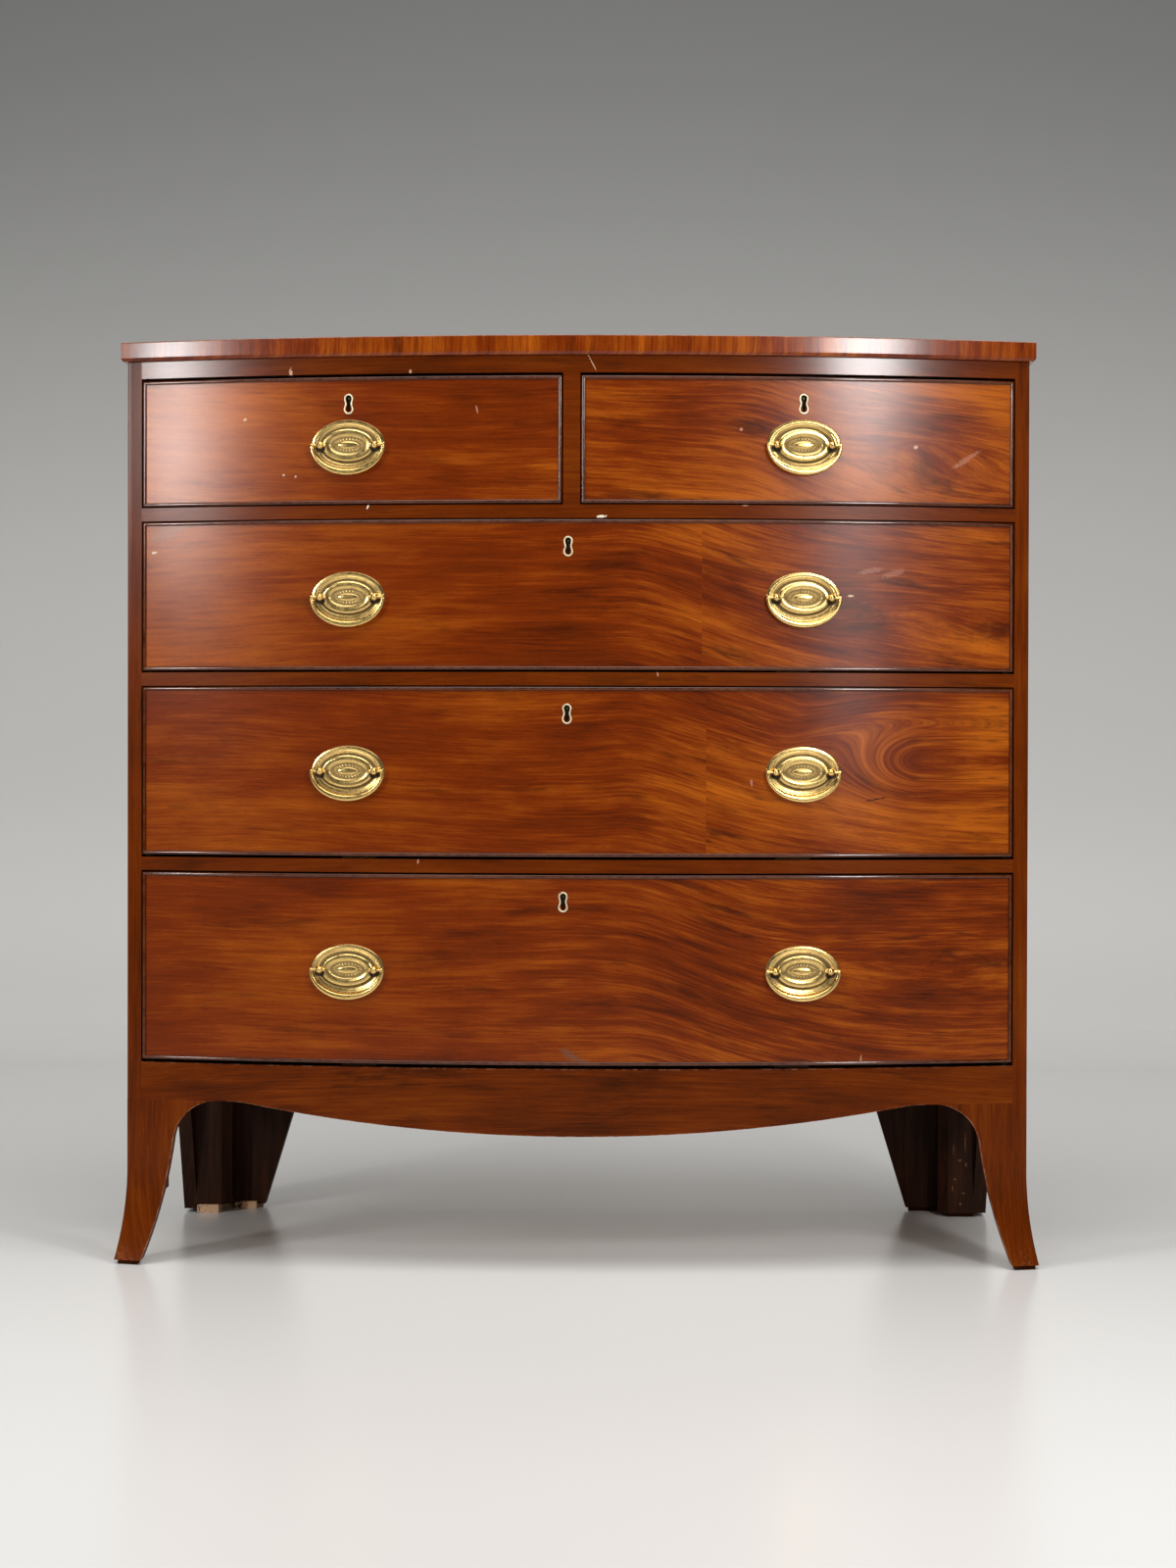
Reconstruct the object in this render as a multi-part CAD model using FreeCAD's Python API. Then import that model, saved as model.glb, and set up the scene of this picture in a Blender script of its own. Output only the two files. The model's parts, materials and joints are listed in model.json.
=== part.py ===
"""Bow front chest of drawers: two short drawers over three long ones, on splayed front feet.

Millimetres, +Z up, +X to the right and the bowed front towards -Y. The origin is the middle of the
footprint at floor level. Every curved face of the front is concentric with the bow of the carcass, so
one upright axis behind the chest (BOW_CENTRE_Y) carries the drawer fronts, rails, beads and apron.
"""
import FreeCAD, Part
import math
import os
from collections import namedtuple

Vector = FreeCAD.Vector

# ---------------------------------------------------------------- carcass
CARCASS_WIDTH = 1052.0
SIDE_DEPTH = 470.0  # from the front corners to the back
SIDE_THICKNESS = 17.0
BOW_RISE = 70.0  # how far the middle of the front stands before its corners
TOP_THICKNESS = 22.0
TOP_SIDE_OVERHANG = 7.0
TOP_FRONT_OVERHANG = 9.0
TOP_ARRIS = 2.5
BACK_THICKNESS = 10.0
BACK_REBATE_WIDTH = 9.0
BACK_BOARD_COUNT = 4
BACK_BOARD_GAP = 1.0
BOTTOM_THICKNESS = 15.0
HOUSING_DEPTH = 5.0  # how far rails and bottom are let into the sides

# ---------------------------------------------------------------- front rails and partition
RAIL_THICKNESS = 15.4
RAIL_END_DEPTH = 45.0  # from the front corner to the straight back edge of a rail
FRIEZE_HEIGHT = 20.0
MUNTIN_WIDTH = 19.6
MUNTIN_OFFSET = -4.2
PARTITION_THICKNESS = 14.0
RUNNER_WIDTH = 26.0
CENTRE_RUNNER_WIDTH = 70.0
KICKER_CLEARANCE = 2.0
DUST_THICKNESS = 6.0
DUST_TONGUE = 5.0
STOP_WIDTH = 40.0
STOP_DEPTH = 22.0
STOP_HEIGHT = 4.5
STOP_CLEARANCE = 0.3

# ---------------------------------------------------------------- base and feet
PAD_HEIGHT = 5.0
FOOT_HEIGHT = 193.5  # floor to the joint under the carcass
APRON_END_HEIGHT = 43.2  # apron above that joint, beside the feet
APRON_DROP = 34.5  # how far the middle of the apron hangs below the joint
APRON_SPRING = 405.0  # where the lower curve of the apron runs out
APRON_TURN = 0.93  # share of that half width where the hollow ends of the curve begin
APRON_THICKNESS = 22.0
FOOT_REACH = 110.0  # width of a front foot at the joint
FOOT_TOE_WIDTH = 18.0  # at the pad, without the flare
FOOT_ARCH_RADIUS = 55.0
FOOT_ARCH_SWEEP = 82.0  # degrees, from level down to the long inner edge
FOOT_SIDE_REACH = 108.0
FOOT_THICKNESS = 22.0
TOE_FLARE = 14.0
TOE_INNER_FLARE = 8.0
FLARE_HEIGHT = 110.0  # above the pad, where the flare begins
REAR_BRACKET_TOP_REACH = 163.0
REAR_BRACKET_TOE_REACH = 105.5
REAR_BRACKET_THICKNESS = 20.0
REAR_SIDE_TOP_REACH = 112.0
REAR_SIDE_TOE_REACH = 65.0
REAR_BATTER = 6.0
FRONT_BLOCK_SIZE = 26.0
FRONT_BLOCK_LIFT = 85.0
REAR_BLOCK_SIZE = 50.0
REAR_BLOCK_CHAMFER = 12.0
SHIM_WIDTH = 28.0
SHIM_HEIGHT = 11.0
BRACKET_SHIM_HEIGHT = 9.0
BRACKET_SHIM_DEPTH = 9.0
PAD_INSET = 4.0

# ---------------------------------------------------------------- drawers
Row = namedtuple("Row", "name height gap_under gap_over tails lock_x handle_rise")
ROWS = (
    Row("lower", 218.6, 4.2, 2.1, 3, -13.0, 108.1),
    Row("middle", 195.3, 3.2, 1.5, 3, -9.0, 97.8),
    Row("upper", 172.6, 2.4, 1.5, 2, -8.0, 83.6),
    Row("top", 146.2, 1.4, 3.4, 2, 262.0, 67.6),
)
BACK_TAILS = 2
FRONT_SIDE_GAP = 1.5
FRONT_THICKNESS = 20.0
DRAWER_SIDE_THICKNESS = 9.0
DRAWER_SIDE_DROP = 7.0  # top of a drawer side below the top of its front
DRAWER_BACK_DROP = 5.0  # top of the back below the top of the sides
DRAWER_BACK_GAP = 12.0  # between the drawer and the back boards
RUN_CLEARANCE = 0.3
PANEL_THICKNESS = 6.0
PANEL_LIFT = 6.0  # panel above the lower edge of the drawer sides
GROOVE_DEPTH = 4.0
DOVETAIL_LAP = 8.0  # wood left in front of the tails
DOVETAIL_SLOPE = 2.4  # how much wider a tail is at its end, each side
DOVETAIL_SHARE = 0.56  # width of a tail against its pitch
DOVETAIL_REACH = 0.5  # share of a tail's length that its cutter runs on at each end
BEAD_WIDTH = 4.2
BEAD_DEPTH = 6.0
BEAD_PROUD = 2.4
BEAD_SLOPE = 1.5  # how far its nose falls back to each side

# ---------------------------------------------------------------- locks and keyholes
LOCK_DROP = 31.0  # keyhole centre below the top of its drawer front
CASE_WIDTH = 56.0
CASE_HEIGHT = 48.0
CASE_DEPTH = 10.0
CASE_WALL = 1.2
BOLT_WIDTH = 22.0
BOLT_DEPTH = 6.5
BOLT_HEIGHT = 16.0
BOLT_TRAVEL = 7.0
BOLT_CLEARANCE = 0.3
MORTISE_CLEARANCE = 2.0
DRILL_PIN_RADIUS = 1.3
KEYHOLE_HEIGHT = 24.0
KEYHOLE_HEAD_RADIUS = 5.5
KEYHOLE_TAIL_RADIUS = 3.9
KEYHOLE_NECK_WIDTH = 5.4
KEYHOLE_HEAD_STEPS = 4
KEYHOLE_TAIL_STEPS = 2
THREAD_WALL = 1.2
THREAD_DEPTH = 3.0
THREAD_PROUD = 0.1

# ---------------------------------------------------------------- handles
HANDLE_X = 262.0
PLATE_WIDTH = 87.0
PLATE_HEIGHT = 59.5
RIB_HEIGHT = 4.0
RIB_INSET = 3.2  # insets are measured in from the edge of the plate
RECESS_INSET = 8.0
RECESS_HEIGHT = 1.6
DOME_SIDE_INSET = 12.5
DOME_END_INSET = 10.8
DOME_RISE = 5.2
DOME_SLOPE = 3.0
POST_SPACING = 64.0
POST_RADIUS = 2.8
BALL_RADIUS = 4.3
PIVOT_OUT = 6.3  # bail axis before the drawer front
BAIL_WIDTH = 88.0
BAIL_DROP = 34.5
BAIL_ARM_WIDTH = 4.0
BAIL_GRIP_WIDTH = 6.5
BAIL_THICKNESS = 4.0
BAIL_ARRIS = 1.0
BAIL_PIN_RADIUS = 1.3
BAIL_PIN_CLEARANCE = 0.08
BAIL_STEPS = 10  # straight lengths round the bail
OVAL_SIDES = 16  # straight lengths round an oval plate
TURNED_SIDES = 6  # flats on small turned pieces

# ---------------------------------------------------------------- worked out
HALF_WIDTH = CARCASS_WIDTH / 2
INNER_HALF = HALF_WIDTH - SIDE_THICKNESS
BOW_RADIUS = (HALF_WIDTH**2 + BOW_RISE**2) / (2 * BOW_RISE)
CORNER_Y = (BOW_RISE + TOP_FRONT_OVERHANG - SIDE_DEPTH) / 2
BACK_Y = CORNER_Y + SIDE_DEPTH
BOW_CENTRE_Y = CORNER_Y - BOW_RISE + BOW_RADIUS
BACK_FRONT_Y = BACK_Y - BACK_THICKNESS
RAIL_BACK_Y = CORNER_Y + RAIL_END_DEPTH
BASE_TOP = FOOT_HEIGHT + APRON_END_HEIGHT
MUNTIN_LEFT = MUNTIN_OFFSET - MUNTIN_WIDTH / 2
MUNTIN_RIGHT = MUNTIN_OFFSET + MUNTIN_WIDTH / 2
DRAWER_END_Y = BACK_FRONT_Y - DRAWER_BACK_GAP
FAR = 4 * HALF_WIDTH  # longer than anything that it cuts
OVERCUT = 1.0  # how far a cut runs on past the face that it opens
SWEEP_MARGIN = 1.0  # degrees that a turned blank runs on past its outline


def row_floors():
    """Height of the surface under each row of drawers, by name, and of the underside of the frieze."""
    floors = {}
    level = BASE_TOP
    for row in ROWS:
        floors[row.name] = level
        level += row.gap_under + row.height + row.gap_over
        if row.name != "top":
            level += RAIL_THICKNESS
    floors["frieze"] = level
    return floors


FLOORS = row_floors()
CARCASS_TOP = FLOORS["frieze"] + FRIEZE_HEIGHT

Drawer = namedtuple("Drawer", "name row left right lock_x handles")
DRAWERS = tuple(
    Drawer(
        row.name,
        row,
        -INNER_HALF + FRONT_SIDE_GAP,
        INNER_HALF - FRONT_SIDE_GAP,
        row.lock_x,
        (-HANDLE_X, HANDLE_X),
    )
    for row in ROWS[:3]
) + (
    Drawer(
        "top_left",
        ROWS[3],
        -INNER_HALF + FRONT_SIDE_GAP,
        MUNTIN_LEFT - FRONT_SIDE_GAP,
        -ROWS[3].lock_x,
        (-HANDLE_X,),
    ),
    Drawer(
        "top_right",
        ROWS[3],
        MUNTIN_RIGHT + FRONT_SIDE_GAP,
        INNER_HALF - FRONT_SIDE_GAP,
        ROWS[3].lock_x,
        (HANDLE_X,),
    ),
)


# ---------------------------------------------------------------- helpers
def bow_y(x, proud=0.0):
    """Y of the bowed front at x, or of the face that stands proud of it (negative: behind it)."""
    return BOW_CENTRE_Y - math.sqrt((BOW_RADIUS + proud) ** 2 - x**2)


def bow_sag(reach):
    """How far the bow falls away from its tangent at a distance from where they touch."""
    return BOW_RADIUS - math.sqrt(BOW_RADIUS**2 - reach**2)


def block(x0, x1, y0, y1, z0, z1):
    """Rectangular solid between opposite corners."""
    return Part.makeBox(x1 - x0, y1 - y0, z1 - z0, Vector(x0, y0, z0))


def face_of(edges):
    """Flat face inside a closed run of edges."""
    return Part.Face(Part.Wire(Part.__sortEdges__(edges)))


def line(a, b):
    """Straight edge between two points."""
    return Part.LineSegment(a, b).toShape()


def arc(a, middle, b):
    """Round edge through three points."""
    return Part.Arc(a, middle, b).toShape()


def tangent_arc(start, heading, end, make):
    """Round edge that leaves start along heading, a unit pair, and ends at end; make places flat pairs."""
    chord = (end[0] - start[0], end[1] - start[1])
    length = math.hypot(*chord)
    along = (chord[0] / length, chord[1] / length)
    cross = heading[0] * along[1] - heading[1] * along[0]
    half_turn = math.asin(cross) / 2
    rise = length / 2 * math.tan(half_turn)
    middle = (
        (start[0] + end[0]) / 2 + rise * along[1],
        (start[1] + end[1]) / 2 - rise * along[0],
    )
    return arc(make(*start), make(*middle), make(*end))


def polygon(points):
    """Flat face with straight sides."""
    return Part.Face(Part.makePolygon(list(points) + [points[0]]))


def front_prism(points):
    """Solid with the outline given as (x, z), running right through the chest from front to back."""
    outline = polygon([Vector(x, -FAR / 2, z) for x, z in points])
    return outline.extrude(Vector(0, FAR, 0))


def bow_edge(x0, x1, proud, z=0.0):
    """Arc of the bow between two x places."""
    middle = (x0 + x1) / 2
    return arc(
        Vector(x0, bow_y(x0, proud), z),
        Vector(middle, bow_y(middle, proud), z),
        Vector(x1, bow_y(x1, proud), z),
    )


def bow_board(x0, x1, z0, z1, proud, thickness):
    """Board of even thickness bent to the bow; its front face stands proud of the carcass front."""
    back = proud - thickness
    front_edge = bow_edge(x0, x1, proud)
    right_end = line(Vector(x1, bow_y(x1, proud), 0), Vector(x1, bow_y(x1, back), 0))
    back_edge = bow_edge(x1, x0, back)
    left_end = line(Vector(x0, bow_y(x0, back), 0), Vector(x0, bow_y(x0, proud), 0))
    board = face_of([front_edge, right_end, back_edge, left_end]).extrude(Vector(0, 0, z1 - z0))
    board.translate(Vector(0, 0, z0))
    return board


def bow_blank(x0, x1, z0, z1, proud, back_y):
    """Board with a bowed front edge and a straight back edge at back_y."""
    front_edge = bow_edge(x0, x1, proud)
    right_end = line(Vector(x1, bow_y(x1, proud), 0), Vector(x1, back_y, 0))
    back_edge = line(Vector(x1, back_y, 0), Vector(x0, back_y, 0))
    left_end = line(Vector(x0, back_y, 0), Vector(x0, bow_y(x0, proud), 0))
    board = face_of([front_edge, right_end, back_edge, left_end]).extrude(Vector(0, 0, z1 - z0))
    board.translate(Vector(0, 0, z0))
    return board


def at_bow(shape, x, z):
    """Moves a shape drawn about the origin, facing -Y, on to the bowed front at (x, z)."""
    turned = shape.copy()
    turn = math.degrees(math.asin(x / BOW_RADIUS))
    turned.rotate(Vector(0, 0, 0), Vector(0, 0, 1), turn)
    turned.translate(Vector(x, bow_y(x), z))
    return turned


def skin(rings):
    """Closed solid through rings of points: triangles between neighbouring rings and flat ends."""
    faces = [polygon(rings[0]), polygon(rings[-1])]
    for lower, upper in zip(rings, rings[1:]):
        count = len(lower)
        for index in range(count):
            after = (index + 1) % count
            faces.append(polygon([lower[index], lower[after], upper[after]]))
            faces.append(polygon([lower[index], upper[after], upper[index]]))
    shell = Part.makeShell(faces)
    shell.sewShape()
    solid = Part.makeSolid(shell)
    if solid.Volume < 0:
        solid.reverse()
    return solid.removeSplitter()


def ellipse_ring(width, height, y, sides):
    """Points round an upright oval that faces the front."""
    turns = [2 * math.pi * number / sides for number in range(sides)]
    return [Vector(width / 2 * math.cos(turn), y, height / 2 * math.sin(turn)) for turn in turns]


def turned(profile, sides):
    """Turned piece on the Y axis, from pairs of (radius, y)."""
    return skin([ellipse_ring(2 * radius, 2 * radius, y, sides) for radius, y in profile])


def cross_bar(radius, x0, x1, y):
    """Small round bar along X at the height of the origin."""
    bar = turned(((radius, x0), (radius, x1)), TURNED_SIDES)
    bar.rotate(Vector(0, 0, 0), Vector(0, 0, 1), -90)
    bar.translate(Vector(0, y, 0))
    return bar


def mirrored(shape):
    """The same shape on the other side of the chest."""
    return shape.mirror(Vector(0, 0, 0), Vector(1, 0, 0))


def save(name, solids):
    """Writes one node: a single solid or a group of separate ones."""
    group = [solid for shape in solids for solid in shape.Solids]
    whole = group[0] if len(group) == 1 else Part.makeCompound(group)
    whole.exportStep("parts/" + name + ".step")


# ---------------------------------------------------------------- carcass
def top_board():
    """Top with its bowed front edge and a bevel under the overhang."""
    half = HALF_WIDTH + TOP_SIDE_OVERHANG
    board = bow_blank(-half, half, CARCASS_TOP, CARCASS_TOP + TOP_THICKNESS, TOP_FRONT_OVERHANG, BACK_Y)
    under = [
        edge
        for edge in board.Edges
        if edge.BoundBox.ZMax < CARCASS_TOP + TOP_ARRIS and edge.BoundBox.YMin < BACK_Y - OVERCUT
    ]
    return board.makeChamfer(TOP_ARRIS, under)


def front_rails():
    """Frieze rail and the three dividers, each mortised from below for the bolt of the lock under it."""
    reach = INNER_HALF + HOUSING_DEPTH
    rails = [bow_blank(-reach, reach, FLOORS["frieze"], CARCASS_TOP, 0, RAIL_BACK_Y)]
    for row in ROWS[1:]:
        top = FLOORS[row.name]
        rails.append(bow_blank(-reach, reach, top - RAIL_THICKNESS, top, 0, RAIL_BACK_Y))
    for drawer in DRAWERS:
        mortise = bolt_block(MORTISE_CLEARANCE, BOLT_TRAVEL + MORTISE_CLEARANCE)
        hole = at_bow(mortise, drawer.lock_x, front_top(drawer.row) + drawer.row.gap_over)
        rails = [rail.cut(hole) for rail in rails]
    return rails


def dust_boards():
    """Thin panels between the drawers, tongued into the rails and the side runners."""
    half = INNER_HALF - RUNNER_WIDTH + DUST_TONGUE
    panels = []
    for row in ROWS[1:]:
        middle = FLOORS[row.name] - RAIL_THICKNESS / 2
        low = middle - DUST_THICKNESS / 2
        front = RAIL_BACK_Y - DUST_TONGUE
        panels.append(block(-half, half, front, BACK_FRONT_Y, low, low + DUST_THICKNESS))
    return panels


def drawer_runners():
    """Side runners under the rows, the wide one under the partition, and the kickers below the top."""
    pieces = []
    inner = INNER_HALF - RUNNER_WIDTH
    for row in ROWS[1:]:
        top = FLOORS[row.name]
        low = top - RAIL_THICKNESS
        runner = block(inner, INNER_HALF, RAIL_BACK_Y, BACK_FRONT_Y, low, top)
        pieces += [runner, mirrored(runner)]
    top = FLOORS["top"]
    left = MUNTIN_OFFSET - CENTRE_RUNNER_WIDTH / 2
    right = MUNTIN_OFFSET + CENTRE_RUNNER_WIDTH / 2
    dust_top = top - RAIL_THICKNESS / 2 + DUST_THICKNESS / 2
    pieces.append(block(left, right, RAIL_BACK_Y, BACK_FRONT_Y, dust_top, top))
    kicker_low = side_span(ROWS[-1])[1] + KICKER_CLEARANCE
    kicker = block(inner, INNER_HALF, RAIL_BACK_Y, BACK_FRONT_Y, kicker_low, CARCASS_TOP)
    pieces += [kicker, mirrored(kicker)]
    return pieces


def bottom_board():
    """Carcass bottom: meets the back of the apron and is housed in the sides."""
    low = BASE_TOP - BOTTOM_THICKNESS
    board = bow_blank(-INNER_HALF, INNER_HALF, low, BASE_TOP, -APRON_THICKNESS, BACK_FRONT_Y)
    reach = INNER_HALF + HOUSING_DEPTH
    housed = block(-reach, reach, RAIL_BACK_Y, BACK_FRONT_Y, low, BASE_TOP)
    return board.fuse(housed).removeSplitter()


def side_board(housed):
    """Right side: its front edge follows the bow, its back edge is rebated, and housings take the rails."""
    board = bow_blank(INNER_HALF, HALF_WIDTH, FOOT_HEIGHT, CARCASS_TOP, 0, BACK_Y)
    rebate_x = INNER_HALF + BACK_REBATE_WIDTH
    rebate = block(
        INNER_HALF - OVERCUT, rebate_x, BACK_FRONT_Y, BACK_Y + OVERCUT,
        FOOT_HEIGHT - OVERCUT, CARCASS_TOP + OVERCUT,
    )
    board = board.cut(rebate)
    for piece in housed:
        board = board.cut(piece)
    return board


def back_boards():
    """Upright boards in the rebates of the sides."""
    reach = INNER_HALF + BACK_REBATE_WIDTH
    pitch = (2 * reach + BACK_BOARD_GAP) / BACK_BOARD_COUNT
    boards = []
    for number in range(BACK_BOARD_COUNT):
        left = -reach + number * pitch
        right = left + pitch - BACK_BOARD_GAP
        boards.append(block(left, right, BACK_FRONT_Y, BACK_Y, FOOT_HEIGHT, CARCASS_TOP))
    return boards


def top_partition():
    """Muntin between the short drawers and the board that carries on behind it."""
    floor = FLOORS["top"]
    muntin = bow_blank(MUNTIN_LEFT, MUNTIN_RIGHT, floor, FLOORS["frieze"], 0, RAIL_BACK_Y)
    left = MUNTIN_OFFSET - PARTITION_THICKNESS / 2
    right = MUNTIN_OFFSET + PARTITION_THICKNESS / 2
    board = block(left, right, RAIL_BACK_Y, BACK_FRONT_Y, floor, CARCASS_TOP)
    return [muntin, board]


def drawer_stops():
    """Low blocks on the rails that meet the back of each drawer front when it is shut."""
    stops = []
    front_y = FRONT_THICKNESS + STOP_CLEARANCE + bow_sag(STOP_WIDTH / 2)
    stop = block(-STOP_WIDTH / 2, STOP_WIDTH / 2, front_y, front_y + STOP_DEPTH, 0, STOP_HEIGHT)
    for drawer in DRAWERS:
        quarter = (drawer.right - drawer.left) / 4
        for centre in (drawer.left + quarter, drawer.right - quarter):
            stops.append(at_bow(stop, centre, FLOORS[drawer.row.name]))
    return stops


# ---------------------------------------------------------------- base and feet
def apron():
    """Bowed apron: its lower edge is one long arc that turns up into hollow ends beside the feet."""
    turn_x = APRON_TURN * APRON_SPRING
    turn_z = FOOT_HEIGHT - (1 - APRON_TURN) * APRON_DROP
    turn = Vector(turn_x, 0, turn_z)
    low = Vector(0, 0, FOOT_HEIGHT - APRON_DROP)
    long_arc = arc(Vector(-turn_x, 0, turn_z), low, turn)
    ends = ((APRON_SPRING, FOOT_HEIGHT), (turn_x, turn_z))
    hollow = tangent_arc(ends[0], (-1.0, 0.0), ends[1], lambda x, z: Vector(x, 0, z))
    corners = (
        (APRON_SPRING, FOOT_HEIGHT),
        (INNER_HALF, FOOT_HEIGHT),
        (INNER_HALF, BASE_TOP),
        (-INNER_HALF, BASE_TOP),
        (-INNER_HALF, FOOT_HEIGHT),
        (-APRON_SPRING, FOOT_HEIGHT),
    )
    points = [Vector(x, 0, z) for x, z in corners]
    sides = [line(a, b) for a, b in zip(points, points[1:])]
    outline = face_of([long_arc, hollow, mirrored(hollow)] + sides)
    outline.translate(Vector(0, -FAR / 2, 0))
    prism = outline.extrude(Vector(0, FAR, 0))
    return bow_board(-INNER_HALF, INNER_HALF, low.z - OVERCUT, BASE_TOP, 0, APRON_THICKNESS).common(prism)


def flare_edges(start, out, make):
    """Outer edge of a splayed foot from the joint to the toe: plumb, then an arc outwards.

    make turns (distance out, height) into a point; start is where the plumb part stands.
    """
    bend_top = PAD_HEIGHT + FLARE_HEIGHT
    joint = make(start, FOOT_HEIGHT)
    toe = make(start + out, PAD_HEIGHT)
    flare = tangent_arc((start, bend_top), (0.0, -1.0), (start + out, PAD_HEIGHT), make)
    return [line(joint, make(start, bend_top)), flare], joint, toe


def flared_section(start, thickness, make):
    """Face of a splayed board seen end on: both its faces curve outwards above the toe."""
    outer, outer_joint, outer_toe = flare_edges(start, TOE_FLARE, make)
    inner, inner_joint, inner_toe = flare_edges(start - thickness, TOE_INNER_FLARE, make)
    foot = line(outer_toe, inner_toe)
    head = line(inner_joint, outer_joint)
    return face_of(outer + [foot] + inner + [head])


def foot_outline(outer, reach, make):
    """Outline of a front foot facing: flared outer edge, round arch and long inner edge to the toe."""
    sweep = math.radians(FOOT_ARCH_SWEEP)
    centre = (outer - reach, FOOT_HEIGHT - FOOT_ARCH_RADIUS)
    spring = (centre[0], FOOT_HEIGHT)
    turn = (
        centre[0] + FOOT_ARCH_RADIUS * math.sin(sweep),
        centre[1] + FOOT_ARCH_RADIUS * math.cos(sweep),
    )
    toe_in = (outer - FOOT_TOE_WIDTH, PAD_HEIGHT)
    arch = tangent_arc(spring, (1.0, 0.0), turn, make)
    inner = tangent_arc(turn, (math.cos(sweep), -math.sin(sweep)), toe_in, make)
    edges, joint, toe = flare_edges(outer, TOE_FLARE, make)
    head = line(joint, make(*spring))
    sole = line(make(*toe_in), toe)
    return face_of(edges + [head, arch, inner, sole])


def revolved_foot(thickness, proud=0.0):
    """Splayed board carried round the axis of the bow."""
    section = flared_section(BOW_RADIUS + proud, thickness, lambda r, z: Vector(0, BOW_CENTRE_Y - r, z))
    reach = HALF_WIDTH + TOE_FLARE
    sweep = math.degrees(math.asin(reach / BOW_RADIUS)) + SWEEP_MARGIN
    start = math.degrees(math.asin((HALF_WIDTH - FOOT_REACH) / BOW_RADIUS)) - SWEEP_MARGIN
    section.rotate(Vector(0, BOW_CENTRE_Y, 0), Vector(0, 0, 1), start)
    return section.revolve(Vector(0, BOW_CENTRE_Y, 0), Vector(0, 0, 1), sweep - start)


def front_foot():
    """Right front foot: bowed front facing and straight side facing, both flared at the toe."""
    outline = foot_outline(HALF_WIDTH, FOOT_REACH, lambda x, z: Vector(x, -FAR / 2, z))
    facing = revolved_foot(FOOT_THICKNESS).common(outline.extrude(Vector(0, FAR, 0)))
    side_section = flared_section(HALF_WIDTH, SIDE_THICKNESS, lambda x, z: Vector(x, CORNER_Y - FAR / 8, z))
    side = side_section.extrude(Vector(0, FAR / 2, 0))
    side_line = foot_outline(-CORNER_Y, FOOT_SIDE_REACH, lambda y, z: Vector(-FAR / 2, -y, z))
    side = side.common(side_line.extrude(Vector(FAR, 0, 0)))
    ahead = revolved_foot(FOOT_THICKNESS + FAR / 8, FAR / 8)
    return [facing, side.cut(ahead)]


def rear_foot():
    """Right rear foot: straight side facing and the back bracket with its slanted inner edge."""
    bracket_front = BACK_Y - REAR_BRACKET_THICKNESS
    toe_x = HALF_WIDTH - REAR_BATTER
    bracket = front_prism(
        (
            (HALF_WIDTH, FOOT_HEIGHT),
            (toe_x, PAD_HEIGHT),
            (HALF_WIDTH - REAR_BRACKET_TOE_REACH, PAD_HEIGHT),
            (HALF_WIDTH - REAR_BRACKET_TOP_REACH, FOOT_HEIGHT),
        )
    ).common(block(0, FAR, bracket_front, BACK_Y, 0, FOOT_HEIGHT))
    board = front_prism(
        (
            (HALF_WIDTH, FOOT_HEIGHT),
            (toe_x, PAD_HEIGHT),
            (toe_x - SIDE_THICKNESS, PAD_HEIGHT),
            (INNER_HALF, FOOT_HEIGHT),
        )
    )
    profile = polygon(
        [
            Vector(0, bracket_front, FOOT_HEIGHT),
            Vector(0, bracket_front, PAD_HEIGHT),
            Vector(0, BACK_Y - REAR_SIDE_TOE_REACH, PAD_HEIGHT),
            Vector(0, BACK_Y - REAR_SIDE_TOP_REACH, FOOT_HEIGHT),
        ]
    ).extrude(Vector(FAR, 0, 0))
    return [board.common(profile), bracket]


def foot_blocks():
    """Glue blocks in the four corners; the left rear one is cut short over its shim."""
    top = BASE_TOP - BOTTOM_THICKNESS
    left = INNER_HALF - FRONT_BLOCK_SIZE
    back_y = bow_y(left, -FOOT_THICKNESS) + FRONT_BLOCK_SIZE
    front = bow_blank(left, INNER_HALF, FRONT_BLOCK_LIFT, top, -FOOT_THICKNESS, back_y)
    front = front.cut(revolved_foot(FOOT_THICKNESS))
    rear_front = BACK_Y - REAR_BRACKET_THICKNESS
    blocks = [front, mirrored(front)]
    side_facing = rear_foot()[0]
    for side, foot in ((1, PAD_HEIGHT), (-1, SHIM_HEIGHT)):
        outer = INNER_HALF
        outline = polygon(
            [
                Vector(outer, rear_front, foot),
                Vector(outer, rear_front - REAR_BLOCK_SIZE, foot),
                Vector(outer - REAR_BLOCK_SIZE + REAR_BLOCK_CHAMFER, rear_front - REAR_BLOCK_SIZE, foot),
                Vector(outer - REAR_BLOCK_SIZE, rear_front - REAR_BLOCK_SIZE + REAR_BLOCK_CHAMFER, foot),
                Vector(outer - REAR_BLOCK_SIZE, rear_front, foot),
            ]
        )
        rear = outline.extrude(Vector(0, 0, top - foot)).cut(side_facing)
        blocks.append(rear if side > 0 else mirrored(rear))
    return blocks


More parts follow.
